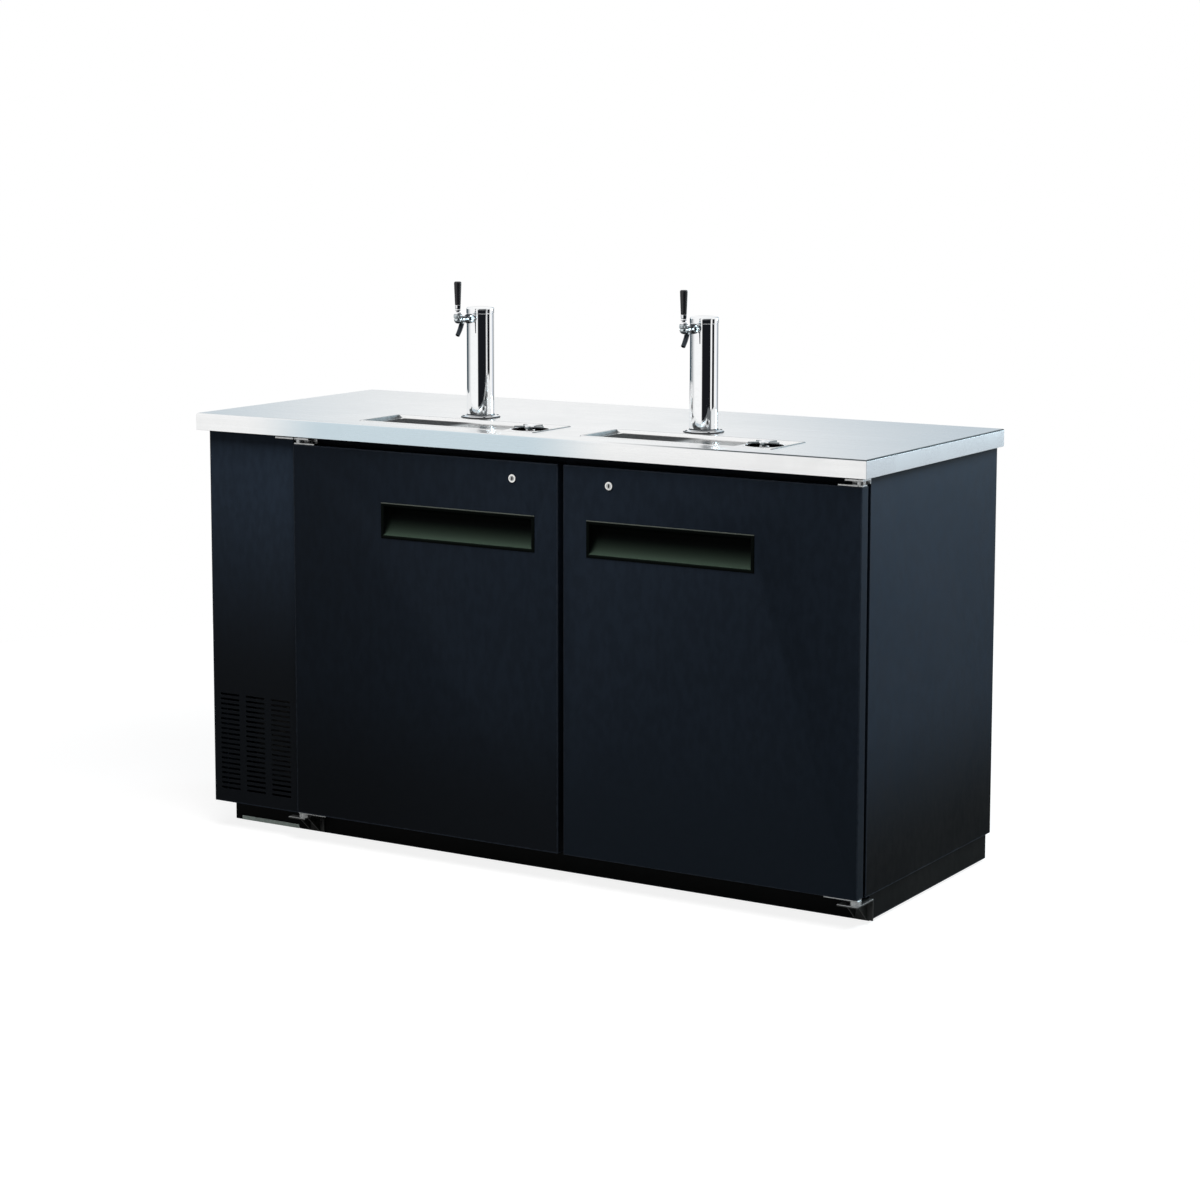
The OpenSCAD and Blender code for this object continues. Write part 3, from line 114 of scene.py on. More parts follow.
# Painted highlight on the handle cups' upper lip, and painted light where their scoops look up
CUP_LIP_HIGHLIGHT = (0.072, 0.080, 0.070)
CUP_LIT = (0.031, 0.047, 0.035)
MOULDING_BLACK = (0.010, 0.0105, 0.0095)
HANDLE_BLACK = (0.006, 0.006, 0.007)
STAR_GREY = (0.120, 0.132, 0.136)
SEAL_BLACK = (0.014, 0.014, 0.015)
MACHINE_BLACK = (0.010, 0.010, 0.011)
ZINC = (0.50, 0.51, 0.51)
GALVANISED = (0.36, 0.42, 0.39)
LINER = (0.52, 0.53, 0.54)
COPPER = (0.62, 0.27, 0.14)
CONDENSER_FIN = (0.030, 0.030, 0.032)
EVAPORATOR_FIN = (0.55, 0.56, 0.57)
BOARD = (0.30, 0.25, 0.19)
METAL_DUST = (0.20, 0.19, 0.17)
PLASTIC_DUST = (0.16, 0.155, 0.145)
FIN_DUST = (0.17, 0.16, 0.15)
# Panels that differ from plain vinyl, with light and shade painted in: how light the panel is, partly a
# painted sheen, the colour of its foot, a painted shade, between which shares of its height it fades to that,
# and how light its left edge is beside the right one, a painted shade
PANELS = {
    "grille_panel": {"tone": 2.1, "shaded_foot_colour": (0.0068, 0.0084, 0.0108), "fade": (0.30, 0.95)},
    "door_panel_left": {"shaded_foot_colour": (0.0070, 0.0090, 0.0120), "shaded_left_edge": 0.62},
    "door_panel_right": {"tone": 1.05, "shaded_foot_colour": (0.0095, 0.0140, 0.0205)},
    "right_side_panel": {"tone": 1.4, "shaded_foot_colour": (0.0008, 0.0013, 0.0020)},
}
# How the noise of a grain is stretched along x, y and z
EVEN = (1.0, 1.0, 1.0)
ALONG_TRAY = (0.03, 1.0, 1.0)
# Height where the trays' shade begins, and the spacing of a coil's fins, in metres
SUMP_SHADE_TOP = 0.9965
FIN_PITCH = 0.0026


# Shapes

def around(count):
    return np.linspace(0, 2 * np.pi, count, endpoint=False)


def spokes(count, side, up):
    """Directions at even angles all round: cos a * side + sin a * up."""
    angle = around(count)[:, None]
    return np.cos(angle) * side + np.sin(angle) * up


def unit(vectors):
    return vectors / np.linalg.norm(vectors, axis=-1, keepdims=True)


def stood(flat, y):
    """Points of an upright plane, given as x and z, at their depth y."""
    return np.insert(flat, 1, y, axis=1)


def quads(rows, columns, wrap_rows=False):
    """Faces over a grid of points: each joins a point, its neighbour in the row and the same two one row on.
    Rows close on themselves, and wrapped rows run on from the last row to the first."""
    index = np.arange(rows * columns).reshape(rows, columns)
    if wrap_rows:
        index = np.vstack([index, index[:1]])
    index = np.hstack([index, index[:, :1]])
    return np.stack([index[:-1, :-1], index[:-1, 1:], index[1:, 1:], index[1:, :-1]], axis=-1).reshape(-1, 4)


def eased(profile, ease, steps=6):
    """A profile with its corners eased: corner P gives way to the curve (1-t)^2 A + 2t(1-t) P + t^2 B, where
    A and B lie on its two edges, `ease` away from P but never past the middle of an edge. The end points
    stay."""
    profile = np.asarray(profile, float)
    corner = profile[1:-1]
    back, ahead = profile[:-2] - corner, profile[2:] - corner
    back_length = np.linalg.norm(back, axis=1, keepdims=True)
    ahead_length = np.linalg.norm(ahead, axis=1, keepdims=True)
    start = corner + back * np.minimum(ease / back_length, 0.5)
    end = corner + ahead * np.minimum(ease / ahead_length, 0.5)
    t = np.linspace(0, 1, steps)[None, :, None]
    curve = (1 - t) ** 2 * start[:, None] + 2 * t * (1 - t) * corner[:, None] + t ** 2 * end[:, None]
    return np.vstack([profile[:1], curve.reshape(-1, 2), profile[-1:]])


def turned(profile, origin, along=(0, 0, 1), segments=96, ring=False, flutes=None):
    """A turned shape: (radius, distance) pairs in millimetres carried round an axis. A point at angle a
    stands at origin + distance * along + radius * (cos a * side + sin a * up). Flutes (count, depth, low,
    high) take depth * ((1 + cos(count * a)) / 2)^3 off the radius between two distances. A ring is a closed
    profile."""
    radius, distance = np.asarray(profile, float).T[..., None]
    along = unit(np.asarray(along, float))
    side = unit(np.cross(along, (0, 1, 0) if abs(along[2]) > 0.9 else (0, 0, 1)))
    radius = np.repeat(radius, segments, axis=1)
    if flutes:
        count, depth, low, high = flutes
        fluted = (distance > low) & (distance < high)
        radius = radius - fluted * depth * ((1 + np.cos(count * around(segments))) / 2) ** 3
    spoke = spokes(segments, side, np.cross(along, side))
    points = np.asarray(origin, float) + MM * (distance[..., None] * along + radius[..., None] * spoke)
    return points.reshape(-1, 3), quads(len(distance), segments, wrap_rows=ring)


def tube(path, radius, side, segments=12):
    """A round wire along a closed path in a plane: at each point a circle cos a * side + sin a * (tangent x
    side) of one radius, in millimetres, stands across the path, and the last circle joins the first."""
    path, side = np.asarray(path, float), np.asarray(side, float)
    tangent = unit(np.roll(path, -1, axis=0) - np.roll(path, 1, axis=0))
    spoke = spokes(segments, side, np.cross(tangent, side)[:, None])
    return (path[:, None] + MM * radius * spoke).reshape(-1, 3), quads(len(path), segments, wrap_rows=True)


def rounded_loop(low, high, radius, steps=7):
    """A rectangle with round corners as points in a plane: four quarter circles, one round each corner's
    centre."""
    turn = np.tile(np.linspace(0, np.pi / 2, steps), 4) + np.repeat(around(4), steps)
    x0, y0, x1, y1 = low[0] + radius, low[1] + radius, high[0] - radius, high[1] - radius
    centre = np.repeat([(x1, y1), (x0, y1), (x0, y0), (x1, y0)], steps, axis=0)
    return centre + radius * np.stack([np.cos(turn), np.sin(turn)], axis=1)


def repeated(shape, places):
    """The same small shape at many places: its points plus each place in turn, with the faces numbered on."""
    points, faces = shape
    places = np.asarray(places, float)
    starts = np.arange(len(places)) * len(points)
    faces = (faces[None] + starts[:, None, None]).reshape(-1, 4)
    return (points[None] + places[:, None]).reshape(-1, 3), faces


def socket_screw(radius, along):
    """A button screw: a low dome r, h = height * (1 - (r / radius)^2) over a flat edge, with a round socket
    sunk in its middle, turned round its own axis. Its radius is in millimetres."""
    height, edge, socket, depth = radius * 0.55, radius * 0.15, radius * 0.42, radius * 0.45
    r = np.linspace(radius, socket, 6)
    dome = edge + (height - edge) * (1 - (r / radius) ** 2)
    profile = [(0, 0), (radius, 0), *zip(r, dome), (socket, height - depth), (0, height - depth)]
    return turned(profile, (0, 0, 0), along, segments=24)


def close_mesh(mesh, crease, from_cad=False):
    """Merges doubled points, so seams and poles are closed, and shades all smooth apart from edges sharper
    than the crease angle. Flat faces of a CAD node are joined; the faces of a new shape are turned
    outwards."""
    bm = bmesh.new()
    bm.from_mesh(mesh)
    bmesh.ops.remove_doubles(bm, verts=bm.verts, dist=1e-6)
    if from_cad:
        bmesh.ops.dissolve_limit(bm, angle_limit=math.radians(0.4), verts=bm.verts, edges=bm.edges)
    else:
        bmesh.ops.dissolve_degenerate(bm, edges=bm.edges, dist=1e-7)
        bmesh.ops.recalc_face_normals(bm, faces=bm.faces)
    bm.to_mesh(mesh)
    bm.free()
    mesh.polygons.foreach_set("use_smooth", np.ones(len(mesh.polygons), bool))
    mesh.set_sharp_from_angle(angle=math.radians(crease))


def linked(name, data):
    """A new object in the scene."""
    thing = bpy.data.objects.new(name, data)
    bpy.context.scene.collection.objects.link(thing)
    return thing


def placed(mesh, body, material, replaced=()):
    """Puts a finished mesh in the scene as a piece that rides on a body and stands for the nodes it
    replaces."""
    piece = linked(mesh.name, mesh)
    mesh.materials.clear()
    mesh.materials.append(material)
    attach(piece, body)
    if replaced:
        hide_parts(*replaced)
    return piece


def made(name, body, slot, material, *parts, replaced=(), crease=CREASE):
    """One piece from several shapes: their points and faces put in one mesh, each face number raised by the
    points that come before it."""
    counts = np.cumsum([0] + [len(points) for points, _ in parts])
    mesh = bpy.data.meshes.new(name)
    faces = np.concatenate([faces + start for (_, faces), start in zip(parts, counts)])
    mesh.from_pydata(np.concatenate([points for points, _ in parts]), [], faces.tolist())
    close_mesh(mesh, crease)
    placed(mesh, body, material, replaced)


def softened(node, ease):
    """A CAD node with its edges eased: a copy of its triangles is merged, flat faces are joined, and a bevel
    of this width rounds the edges sharper than the crease angle."""
    cad = frame["nodes"][node].data
    mesh = cad.copy()
    mesh.name = node + "_eased"
    close_mesh(mesh, CREASE, from_cad=True)
    piece = placed(mesh, BODY_OF[node], cad.materials[0], (node,))
    bevel = piece.modifiers.new("ease", "BEVEL")
    bevel.width = ease
    bevel.segments = 2
    bevel.limit_method = "ANGLE"
    bevel.angle_limit = math.radians(CREASE)
    bevel.harden_normals = True


# Materials

class Nodes:
    """The nodes of a material, world or group under construction, and the sockets they end in. Inputs are
    values or other nodes' outputs."""

    def __init__(self, owner, tree, sockets=None):
        self.owner = owner
        self.tree = tree
        self.sockets = sockets

    def add(self, kind, inputs=None, **settings):
        """A shader node; settings are its own properties."""
        node = self.tree.nodes.new("ShaderNode" + kind)
        for name, value in settings.items():
            setattr(node, name, value)
        for name, value in (inputs or {}).items():
            self.feed(node.inputs[name], value)
        return node

    def feed(self, socket, value):
        if isinstance(value, bpy.types.NodeSocket):
            self.tree.links.new(value, socket)
        else:
            socket.default_value = value

    def maths(self, operation, first, *rest, clamp=False):
        """One operation, carried from left to right where there are more than two values."""
        if len(rest) > 1:
            first = self.maths(operation, first, *rest[:-1])
            rest = rest[-1:]
        inputs = dict(enumerate((first, *rest)))
        return self.add("Math", inputs, operation=operation, use_clamp=clamp).outputs[0]

    def times(self, *values, clamp=False):
        return self.maths("MULTIPLY", *values, clamp=clamp)

    def vector(self, operation, *values):
        return self.add("VectorMath", dict(enumerate(values)), operation=operation).outputs

    def span(self, value, low, high, out_low=0.0, out_high=1.0):
        """The value carried smoothly from one range to another, and held at its ends."""
        inputs = {"Value": value, "From Min": low, "From Max": high, "To Min": out_low, "To Max": out_high}
        return self.add("MapRange", inputs, interpolation_type="SMOOTHSTEP").outputs["Result"]

    def blended(self, factor, *colours):
        """One colour where the factor is 0, the other where it is 1."""
        node = self.add("Mix", data_type="RGBA")
        sockets = {socket.identifier: socket for socket in node.inputs}
        self.feed(sockets["Factor_Float"], factor)
        for name, colour in zip(("A_Color", "B_Color"), colours):
            self.feed(sockets[name], (*colour, 1.0) if isinstance(colour, tuple) else colour)
        return next(socket for socket in node.outputs if socket.identifier == "Result_Color")

    def toned(self, mask, colour, factor):
        """A colour, lighter or darker by a factor where the mask is 1."""
        return self.blended(mask, colour, scaled(colour, factor))

    def axes(self, vector):
        return self.add("SeparateXYZ", {0: vector}).outputs

    def object_place(self):
        return self.add("TexCoord").outputs["Object"]

    def place(self):
        """A point's x, y and z on the piece."""
        return self.axes(self.object_place())

    def normal(self):
        return self.add("NewGeometry").outputs["Normal"]

    def facing(self):
        """How far the surface faces right, back and up."""
        return self.axes(self.normal())

    def depths_in(self, low, high):
        """How deep a point lies in a box along x, y and z: its smaller distance to the two faces there."""
        place = self.object_place()
        from_low, from_high = self.vector("SUBTRACT", place, low)[0], self.vector("SUBTRACT", high, place)[0]
        return self.axes(self.vector("MINIMUM", from_low, from_high)[0])

    def noise(self, place, scale, detail, rough=0.5):
        inputs = {"Vector": place, "Scale": scale, "Detail": detail, "Roughness": rough}
        return self.add("TexNoise", inputs).outputs

    def effect(self, group, **values):
        """A shared group placed here with its own values."""
        node = self.tree.nodes.new("ShaderNodeGroup")
        node.node_tree = group
        for name, value in values.items():
            node.inputs[name].default_value = value
        return node.outputs

    def grain(self, scale, stretch=EVEN):
        return self.effect(GRAIN, Scale=scale, Stretch=stretch)

    def smudges(self, scale, amount):
        return self.effect(SMUDGES, Scale=scale, Amount=amount)["Mask"]

    def dust(self, scale, amount):
        return self.effect(DUST, Scale=scale, Amount=amount)["Mask"]

    def end(self, socket, value):
        self.tree.links.new(value, self.sockets[socket])

    def colour(self, colour):
        self.end("Base Color", colour)

    def rough(self, base, *marks):
        """Roughness: a base value plus each mask times its amount."""
        for mask, amount in marks:
            base = self.maths("ADD", base, self.times(mask, amount))
        self.end("Roughness", base)

    def relief(self, height, distance, strength):
        bump = self.add("Bump", {"Height": height, "Distance": distance, "Strength": strength})
        self.end("Normal", bump.outputs["Normal"])


def scaled(colour, factor):
    return tuple(c * factor for c in colour)


def emptied(owner):
    """A material or a world with no node in it yet."""
    owner.use_nodes = True
    owner.node_tree.nodes.clear()
    return Nodes(owner, owner.node_tree)


def new_group(name, inputs, outputs):
    """An empty shader node group with float and vector inputs and float outputs, and what it is given."""
    group = bpy.data.node_groups.new(name, "ShaderNodeTree")
    for socket, value in inputs.items():
        kind = "NodeSocketVector" if isinstance(value, tuple) else "NodeSocketFloat"
        group.interface.new_socket(name=socket, in_out="INPUT", socket_type=kind).default_value = value
    for socket in outputs:
        group.interface.new_socket(name=socket, in_out="OUTPUT", socket_type="NodeSocketFloat")
    given, out = group.nodes.new("NodeGroupInput").outputs, group.nodes.new("NodeGroupOutput").inputs
    return Nodes(group, group, out), given


def grain_group():
    """Surface grain: noise on Object coordinates stretched by a vector. Height is the fine relief, Tone a
    broader drift of the same grain."""
    inputs = {"Scale": 400.0, "Stretch": EVEN}
    g, given = new_group("surface_grain", inputs, ("Height", "Tone"))
    stretched = g.vector("MULTIPLY", g.object_place(), given["Stretch"])[0]
    fine = g.noise(stretched, given["Scale"], 3.0, 0.6)
    broad = g.noise(stretched, g.times(given["Scale"], 0.13), 2.0)
    g.end("Height", fine["Fac"])
    g.end("Tone", g.span(broad["Fac"], 0.3, 0.7))
    return g.owner


def smudge_group():
    """Handling marks: two sizes of soft noise, one folded over the other, as a mask."""
    g, given = new_group("smudges", {"Scale": 6.0, "Amount": 1.0}, ("Mask",))
    place = g.object_place()
    warp = g.noise(place, given["Scale"], 2.0)
    moved = g.vector("ADD", place, warp["Color"])[0]
    cloud = g.noise(moved, given["Scale"], 5.0, 0.62)
    mask = g.span(cloud["Fac"], 0.42, 0.68)
    g.end("Mask", g.times(mask, given["Amount"], clamp=True))
    return g.owner


def wear_group():
    """Rubbed edges of a box-like piece: a point counts as near an edge where its second-smallest distance to
    the faces of the box between Low and High is under Width, and noise breaks that band up."""
    inputs = {"Low": (0.0, 0.0, 0.0), "High": (1.0, 1.0, 1.0), "Width": 0.006}
    g, given = new_group("edge_wear", inputs, ("Mask",))
    near = g.depths_in(given["Low"], given["High"])
    smallest, largest = g.maths("MINIMUM", *near), g.maths("MAXIMUM", *near)
    middle = g.maths("SUBTRACT", g.maths("ADD", *near), smallest, largest)
    speck = g.noise(g.object_place(), 90.0, 4.0)["Fac"]
    reach = g.times(given["Width"], speck, 2.0)
    g.end("Mask", g.span(g.maths("DIVIDE", middle, reach), 1.0, 0.35))
    return g.owner


def dust_group():
    """Settled dust: more where the surface looks up, broken by noise, as a mask."""
    g, given = new_group("settled_dust", {"Scale": 14.0, "Amount": 0.5}, ("Mask",))
    lying = g.span(g.facing()["Z"], -0.2, 0.9, 0.25, 1.0)
    cloud = g.noise(g.object_place(), given["Scale"], 6.0)
    mask = g.times(lying, g.span(cloud["Fac"], 0.4, 0.7))
    g.end("Mask", g.times(mask, given["Amount"], clamp=True))
    return g.owner


GRAIN, SMUDGES, WEAR, DUST = grain_group(), smudge_group(), wear_group(), dust_group()


def new_material(name, **constants):
    """An empty material with one Principled shader; constants go straight onto the shader's sockets."""
    m = emptied(bpy.data.materials.new(name))
    shader = m.add("BsdfPrincipled")
    for socket, value in constants.items():
        shader.inputs[socket.replace("_", " ").title().replace("Ior", "IOR")].default_value = value
    m.add("OutputMaterial", {"Surface": shader.outputs[0]})
    m.sockets = shader.inputs
    return m


def vinyl_material(name, low, high, colour=VINYL, tone=1.0, shaded_foot_colour=None, fade=(0.05, 0.45),
                   shaded_left_edge=1.0):
    """Black vinyl-coated steel: fine pebble grain, gloss that drifts along the panel, rubbed edges, painted
    shade that darkens it towards the foot, and painted shade that may darken the left edge beside the right.
    Faces on the keg room are bare metal."""
    m = new_material(name, specular_ior_level=0.045)
    # The panel's tone is partly a painted sheen
    colour = scaled(colour, tone)
    grain = m.grain(520.0, (1.0, 1.0, 0.45))
    smudge = m.smudges(2.6, 0.8)
    wear = m.effect(WEAR, Low=low, High=high, Width=0.0035)["Mask"]
    x, _, z = m.place()
    height = high[2] - low[2]
    # Painted shade: towards the bottom the colour goes over to the foot colour
    foot = m.span(z, low[2] + fade[0] * height, low[2] + fade[1] * height, 1.0, 0.0)
    mottle_and_painted_shade = m.toned(grain["Tone"], colour, 1.22)
    mottle_and_painted_shade = m.blended(foot, mottle_and_painted_shade, shaded_foot_colour or colour)
    if shaded_left_edge < 1.0:
        # Painted shade that darkens the panel towards its left edge
        shade = m.span(x, low[0], high[0], 1.0 - shaded_left_edge, 0.0)
        mottle_and_painted_shade = m.blended(shade, mottle_and_painted_shade, (0.0, 0.0, 0.0))
    inside = m.maths("MINIMUM", *m.depths_in(ROOM_LOW, ROOM_HIGH))
    inside = m.span(inside, -1.0 * MM, -0.5 * MM)
    liner = m.toned(smudge, LINER, 0.93)
    m.colour(m.blended(inside, m.blended(wear, mottle_and_painted_shade, VINYL_WORN), liner))
    m.end("Metallic", m.times(inside, 0.9))
    m.rough(0.40, (smudge, 0.10), (grain["Tone"], 0.06))
    m.relief(grain["Height"], 0.0004, 0.35)
    return m.owner


def brushed(m, colour, stretch, amount):
    """Brushed metal: fine lines along the brushing, handling marks, and a colour that drifts with both."""
    lines = m.grain(900.0, stretch)
    smudge = m.smudges(4.0, amount)
    drift = m.toned(lines["Tone"], colour, 0.955)
    return lines, smudge, m.blended(smudge, drift, scaled(colour, 0.94))


def steel_material(name, colour, stretch, rough, smudge_amount):
    """Brushed stainless, with the handling marks in its gloss too."""
    m = new_material(name, metallic=1.0)
    lines, smudge, drift = brushed(m, colour, stretch, smudge_amount)
    m.colour(drift)
    m.rough(rough, (smudge, 0.07), (lines["Height"], 0.08))
    m.relief(lines["Height"], 0.00006, 0.12)
    return m.owner


def counter_material(name, low, high):
    """The counter's brushed stainless: as other steel, with a painted dimmer reflection on the front band
    between its ends, painted shade on the right end, and a painted dark reflection line on the bends along
    the right edge and the right end of the front edge."""
    m = new_material(name, metallic=1.0)
    x = m.place()["X"]
    right, back, up = m.facing()
    front = m.times(back, -1.0)
    lines, smudge, drift = brushed(m, STEEL, (0.012, 1.0, 1.0), 0.5)
    length = high[0] - low[0]
    begin = m.span(x, low[0] + 0.08 * length, low[0] + 0.22 * length)
    finish = m.span(x, low[0] + 0.52 * length, low[0] + 0.66 * length, 1.0, 0.0)
    # Painted reflection: the front band dimmer between its ends
    painted_dim_reflection = m.times(begin, finish, m.span(front, 0.6, 0.95))
    drift = m.blended(painted_dim_reflection, drift, STEEL_FRONT_PAINTED_DIM)
    # Painted shade on the right end
    drift = m.blended(m.span(right, 0.6, 0.95), drift, STEEL_END_PAINTED_SHADE)
    # Painted dark reflection line on the bends along the right edge and part of the front edge
    right_painted_line = m.times(m.span(right, 0.1, 0.3), m.span(up, 0.08, 0.28))
    front_painted_line = m.times(m.span(front, 0.1, 0.3), m.span(up, 0.2, 0.45),
                         m.span(x, 0.2 * high[0], 0.7 * high[0]))
    painted_fold_line = m.maths("MAXIMUM", right_painted_line, front_painted_line)
    painted_fold_line = m.times(painted_fold_line, m.span(up, 0.985, 0.9))
    m.colour(m.blended(painted_fold_line, drift, STEEL_FOLD_PAINTED_LINE))
    m.rough(0.24, (smudge, 0.07), (painted_fold_line, 0.6), (lines["Height"], 0.08))
    m.relief(lines["Height"], 0.00006, 0.12)
    return m.owner


def pressed(m, drift):
    """Pressed tray steel: fine lines, handling marks, and a colour that drifts with the lines."""
    lines = m.grain(900.0, ALONG_TRAY)
    bright = m.toned(lines["Tone"], TRAY_STEEL, drift)
    return lines, m.smudges(14.0, 0.7), bright


def pan_material(name, low, high):
    """A drip pan: bright pressed steel, with painted shade and more roughness on the slopes that face right,
    a line of painted shade round the frame's ends and rear edge, and painted shade below the grate, darkest
    at the drain's end."""
    m = new_material(name, metallic=1.0)
    x, y, z = m.place()
    lines, smudge, bright = pressed(m, 0.96)
    middle = (low[0] + high[0]) / 2
    # Painted shade below the grate, darkest at the drain's end
    depth = m.span(z, SUMP_SHADE_TOP, SUMP_SHADE_TOP - 6 * MM)
    painted_shade = m.times(depth, m.span(x, middle - 0.06, middle + 0.02, 0.97, 0.45))
    from_left, from_right = m.maths("SUBTRACT", x, low[0]), m.maths("SUBTRACT", high[0], x)
    rim = m.maths("MINIMUM", from_left, from_right, m.maths("SUBTRACT", high[1], y))
    # A line of painted shade round the frame's ends and rear edge
    on_top = m.span(z, high[2] - 1.6 * MM, high[2] - 1.2 * MM)
    dull = m.times(m.span(rim, 5.0 * MM, 4.0 * MM), on_top)
    # Painted shade on the slopes that face right
    slope = m.span(m.facing()["X"], 0.15, 0.4)
    bright = m.blended(slope, bright, FRAME_SLOPE_PAINTED_SHADE)
    bright = m.blended(dull, bright, FRAME_EDGE_PAINTED_SHADE)
    m.colour(m.blended(painted_shade, bright, SUMP_PAINTED_SHADE))
    m.rough(0.20, (smudge, 0.10), (slope, 0.4), (depth, 0.3))
    m.relief(lines["Height"], 0.00004, 0.2)
    return m.owner


def grate_material(name, low, high):
    """A drip grate: bright pressed steel, with painted shade and more roughness at the drain's end, most in
    the slots."""
    m = new_material(name, metallic=1.0)
    x, _, z = m.place()
    lines, smudge, bright = pressed(m, 0.95)
    middle = (low[0] + high[0]) / 2
    # Painted shade at the drain's end, most down the slots
    wall = m.span(z, high[2] - 0.02 * MM, high[2] - 0.12 * MM, 0.93, 1.0)
    slotted = m.span(x, low[0] + 13 * MM, low[0] + 17 * MM)
    painted_shade = m.times(wall, slotted, m.span(x, middle - 0.05, middle + 0.01, 0.98, 0.07))
    m.colour(m.blended(painted_shade, bright, SUMP_PAINTED_SHADE))
    m.rough(0.18, (smudge, 0.08), (painted_shade, 0.5))
    m.relief(lines["Height"], 0.00003, 0.1)
    return m.owner


def rinser_bowl_material(name, rim):
    """A rinser's bowl: chrome at its rim and the top of its wall, darkened below them by painted shade."""
    m = new_material(name, metallic=1.0)
    smudge = m.smudges(30.0, 0.6)
    # Painted shade down in the bowl
    shaded_well = m.span(m.place()["Z"], rim - 4.0 * MM, rim - 10.0 * MM)
    m.colour(m.blended(shaded_well, CHROME, SUMP_PAINTED_SHADE))
    m.rough(0.06, (smudge, 0.12))
    m.relief(smudge, 0.00003, 0.2)
    return m.owner


def hinge_material(name, paint_top):
    """Hinge metal: zinc plate clouded by handling, and black paint on the gussets under the lower hinges."""
    m = new_material(name)
    smudge = m.smudges(24.0, 0.9)
    grain = m.grain(600.0)
    bare = m.span(m.place()["Z"], paint_top - 0.5 * MM, paint_top + 0.5 * MM)
    plate = m.toned(smudge, ZINC, 0.7)
    m.colour(m.blended(bare, HINGE_BLACK, plate))
    m.end("Metallic", m.times(bare, 0.9))
    m.rough(0.28, (smudge, 0.16))
    m.relief(grain["Height"], 0.00012, 0.2)
    return m.owner


def chrome_material(name, colour, rough, lit_way=None, lit_from=0.0, lit_to=1.0):
    """Polished plate: a near mirror, dulled a little by water marks and faint polishing lines. With a lit way
    the plate carries a painted reflection: bright where its surface faces that way and darkened where it
    turns from it."""
    m = new_material(name, metallic=1.0)
    smudge = m.smudges(16.0, 0.6)
    lines = m.grain(700.0, (1.0, 1.0, 0.06))
    plate = m.toned(smudge, colour, 0.95)
    if lit_way:
        # Painted reflection: darker where the surface turns from the lit way
        lit = m.vector("DOT_PRODUCT", m.normal(), lit_way)["Value"]
        plate = m.blended(m.span(lit, lit_from, lit_to), CHROME_SHADE, plate)
    m.colour(plate)
    m.rough(rough, (smudge, 0.035))
    m.relief(lines["Height"], 0.00001, 0.12)
    return m.owner


def tap_material(name, axis):
    """Polished plate on a tap with a painted reflection: bright round its middle, dark where it looks well up
    or down, as a bright room with a dark floor and ceiling would show, and dark on the spout below."""
    m = new_material(name, metallic=1.0)
    up = m.facing()["Z"]
    smudge = m.smudges(16.0, 0.6)
    above_spout = m.span(m.place()["Z"], axis - 10.5 * MM, axis - 8.5 * MM)
    # Painted reflection: a bright band round the middle, dark up, down and on the spout
    bright = m.times(m.span(up, -0.55, -0.05), m.span(up, 0.62, 0.18), above_spout)
    plate = m.toned(smudge, TAP_CHROME, 0.95)
    m.colour(m.blended(bright, CHROME_SHADE, plate))
    m.rough(0.05, (smudge, 0.035))
    return m.owner


def plated_material(name, colour, rough, spangle=False):
    """Zinc-plated or hot-dip galvanised sheet: dull clouded metal, with crystal patches if dipped."""
    m = new_material(name, metallic=0.85)
    smudge = m.smudges(11.0, 0.9)
    grain = m.grain(600.0)
    plate = m.toned(smudge, colour, 0.72)
    if spangle:
        cells = m.add("TexVoronoi", {"Vector": m.object_place(), "Scale": 90.0, "Randomness": 1.0})
        shade = m.axes(cells.outputs["Color"])["X"]
        bright = tuple(min(c, 1.0) for c in scaled(colour, 1.35))
        plate = m.blended(m.times(shade, 0.4), plate, bright)
    m.colour(m.blended(m.dust(20.0, 0.35), plate, METAL_DUST))
    m.rough(rough, (smudge, 0.16))
    m.relief(grain["Height"], 0.00012, 0.2)
    return m.owner


def moulded_material(name, colour, rough, scale=420.0, depth=0.0003, level=0.4, dusty=0.15):
    """Moulded plastic, rubber or paint: a fine texture, uneven gloss, a trace of dust on top faces."""
    m = new_material(name, specular_ior_level=level)
    grain = m.grain(scale)
    tone = m.toned(grain["Tone"], colour, 1.18)
    m.colour(m.blended(m.dust(18.0, dusty), tone, PLASTIC_DUST))
    m.rough(rough, (m.smudges(9.0, 0.8), 0.12))
    m.relief(grain["Height"], depth, 0.3)
    return m.owner


def cup_material(name, low, high):
    """The handle cup's moulding: black, with painted light that makes it paler the more its surface looks up,
    and a painted highlight along the outer edge of its upper lip."""
    m = new_material(name, specular_ior_level=0.015)
    _, y, z = m.place()
    grain = m.grain(420.0)
    shade = m.maths("ADD", 0.9, m.times(grain["Height"], 0.2))
    # Painted light: paler where the scoop looks up
    lit = m.times(m.span(m.facing()["Z"], 0.0, 0.8), shade, clamp=True)
    # Painted highlight along the outer edge of the upper lip
    upper = m.span(z, high[2] - 2.6 * MM, high[2] - 1.4 * MM)
    lip = m.times(upper, m.span(y, low[1] + 4 * MM, low[1] + 2 * MM))
    moulding = m.blended(lit, CUP_BLACK, CUP_LIT)
    m.colour(m.blended(lip, moulding, CUP_LIP_HIGHLIGHT))
    m.rough(0.38, (m.smudges(9.0, 0.8), 0.12))
    m.relief(grain["Height"], 0.00015, 0.25)
    return m.owner


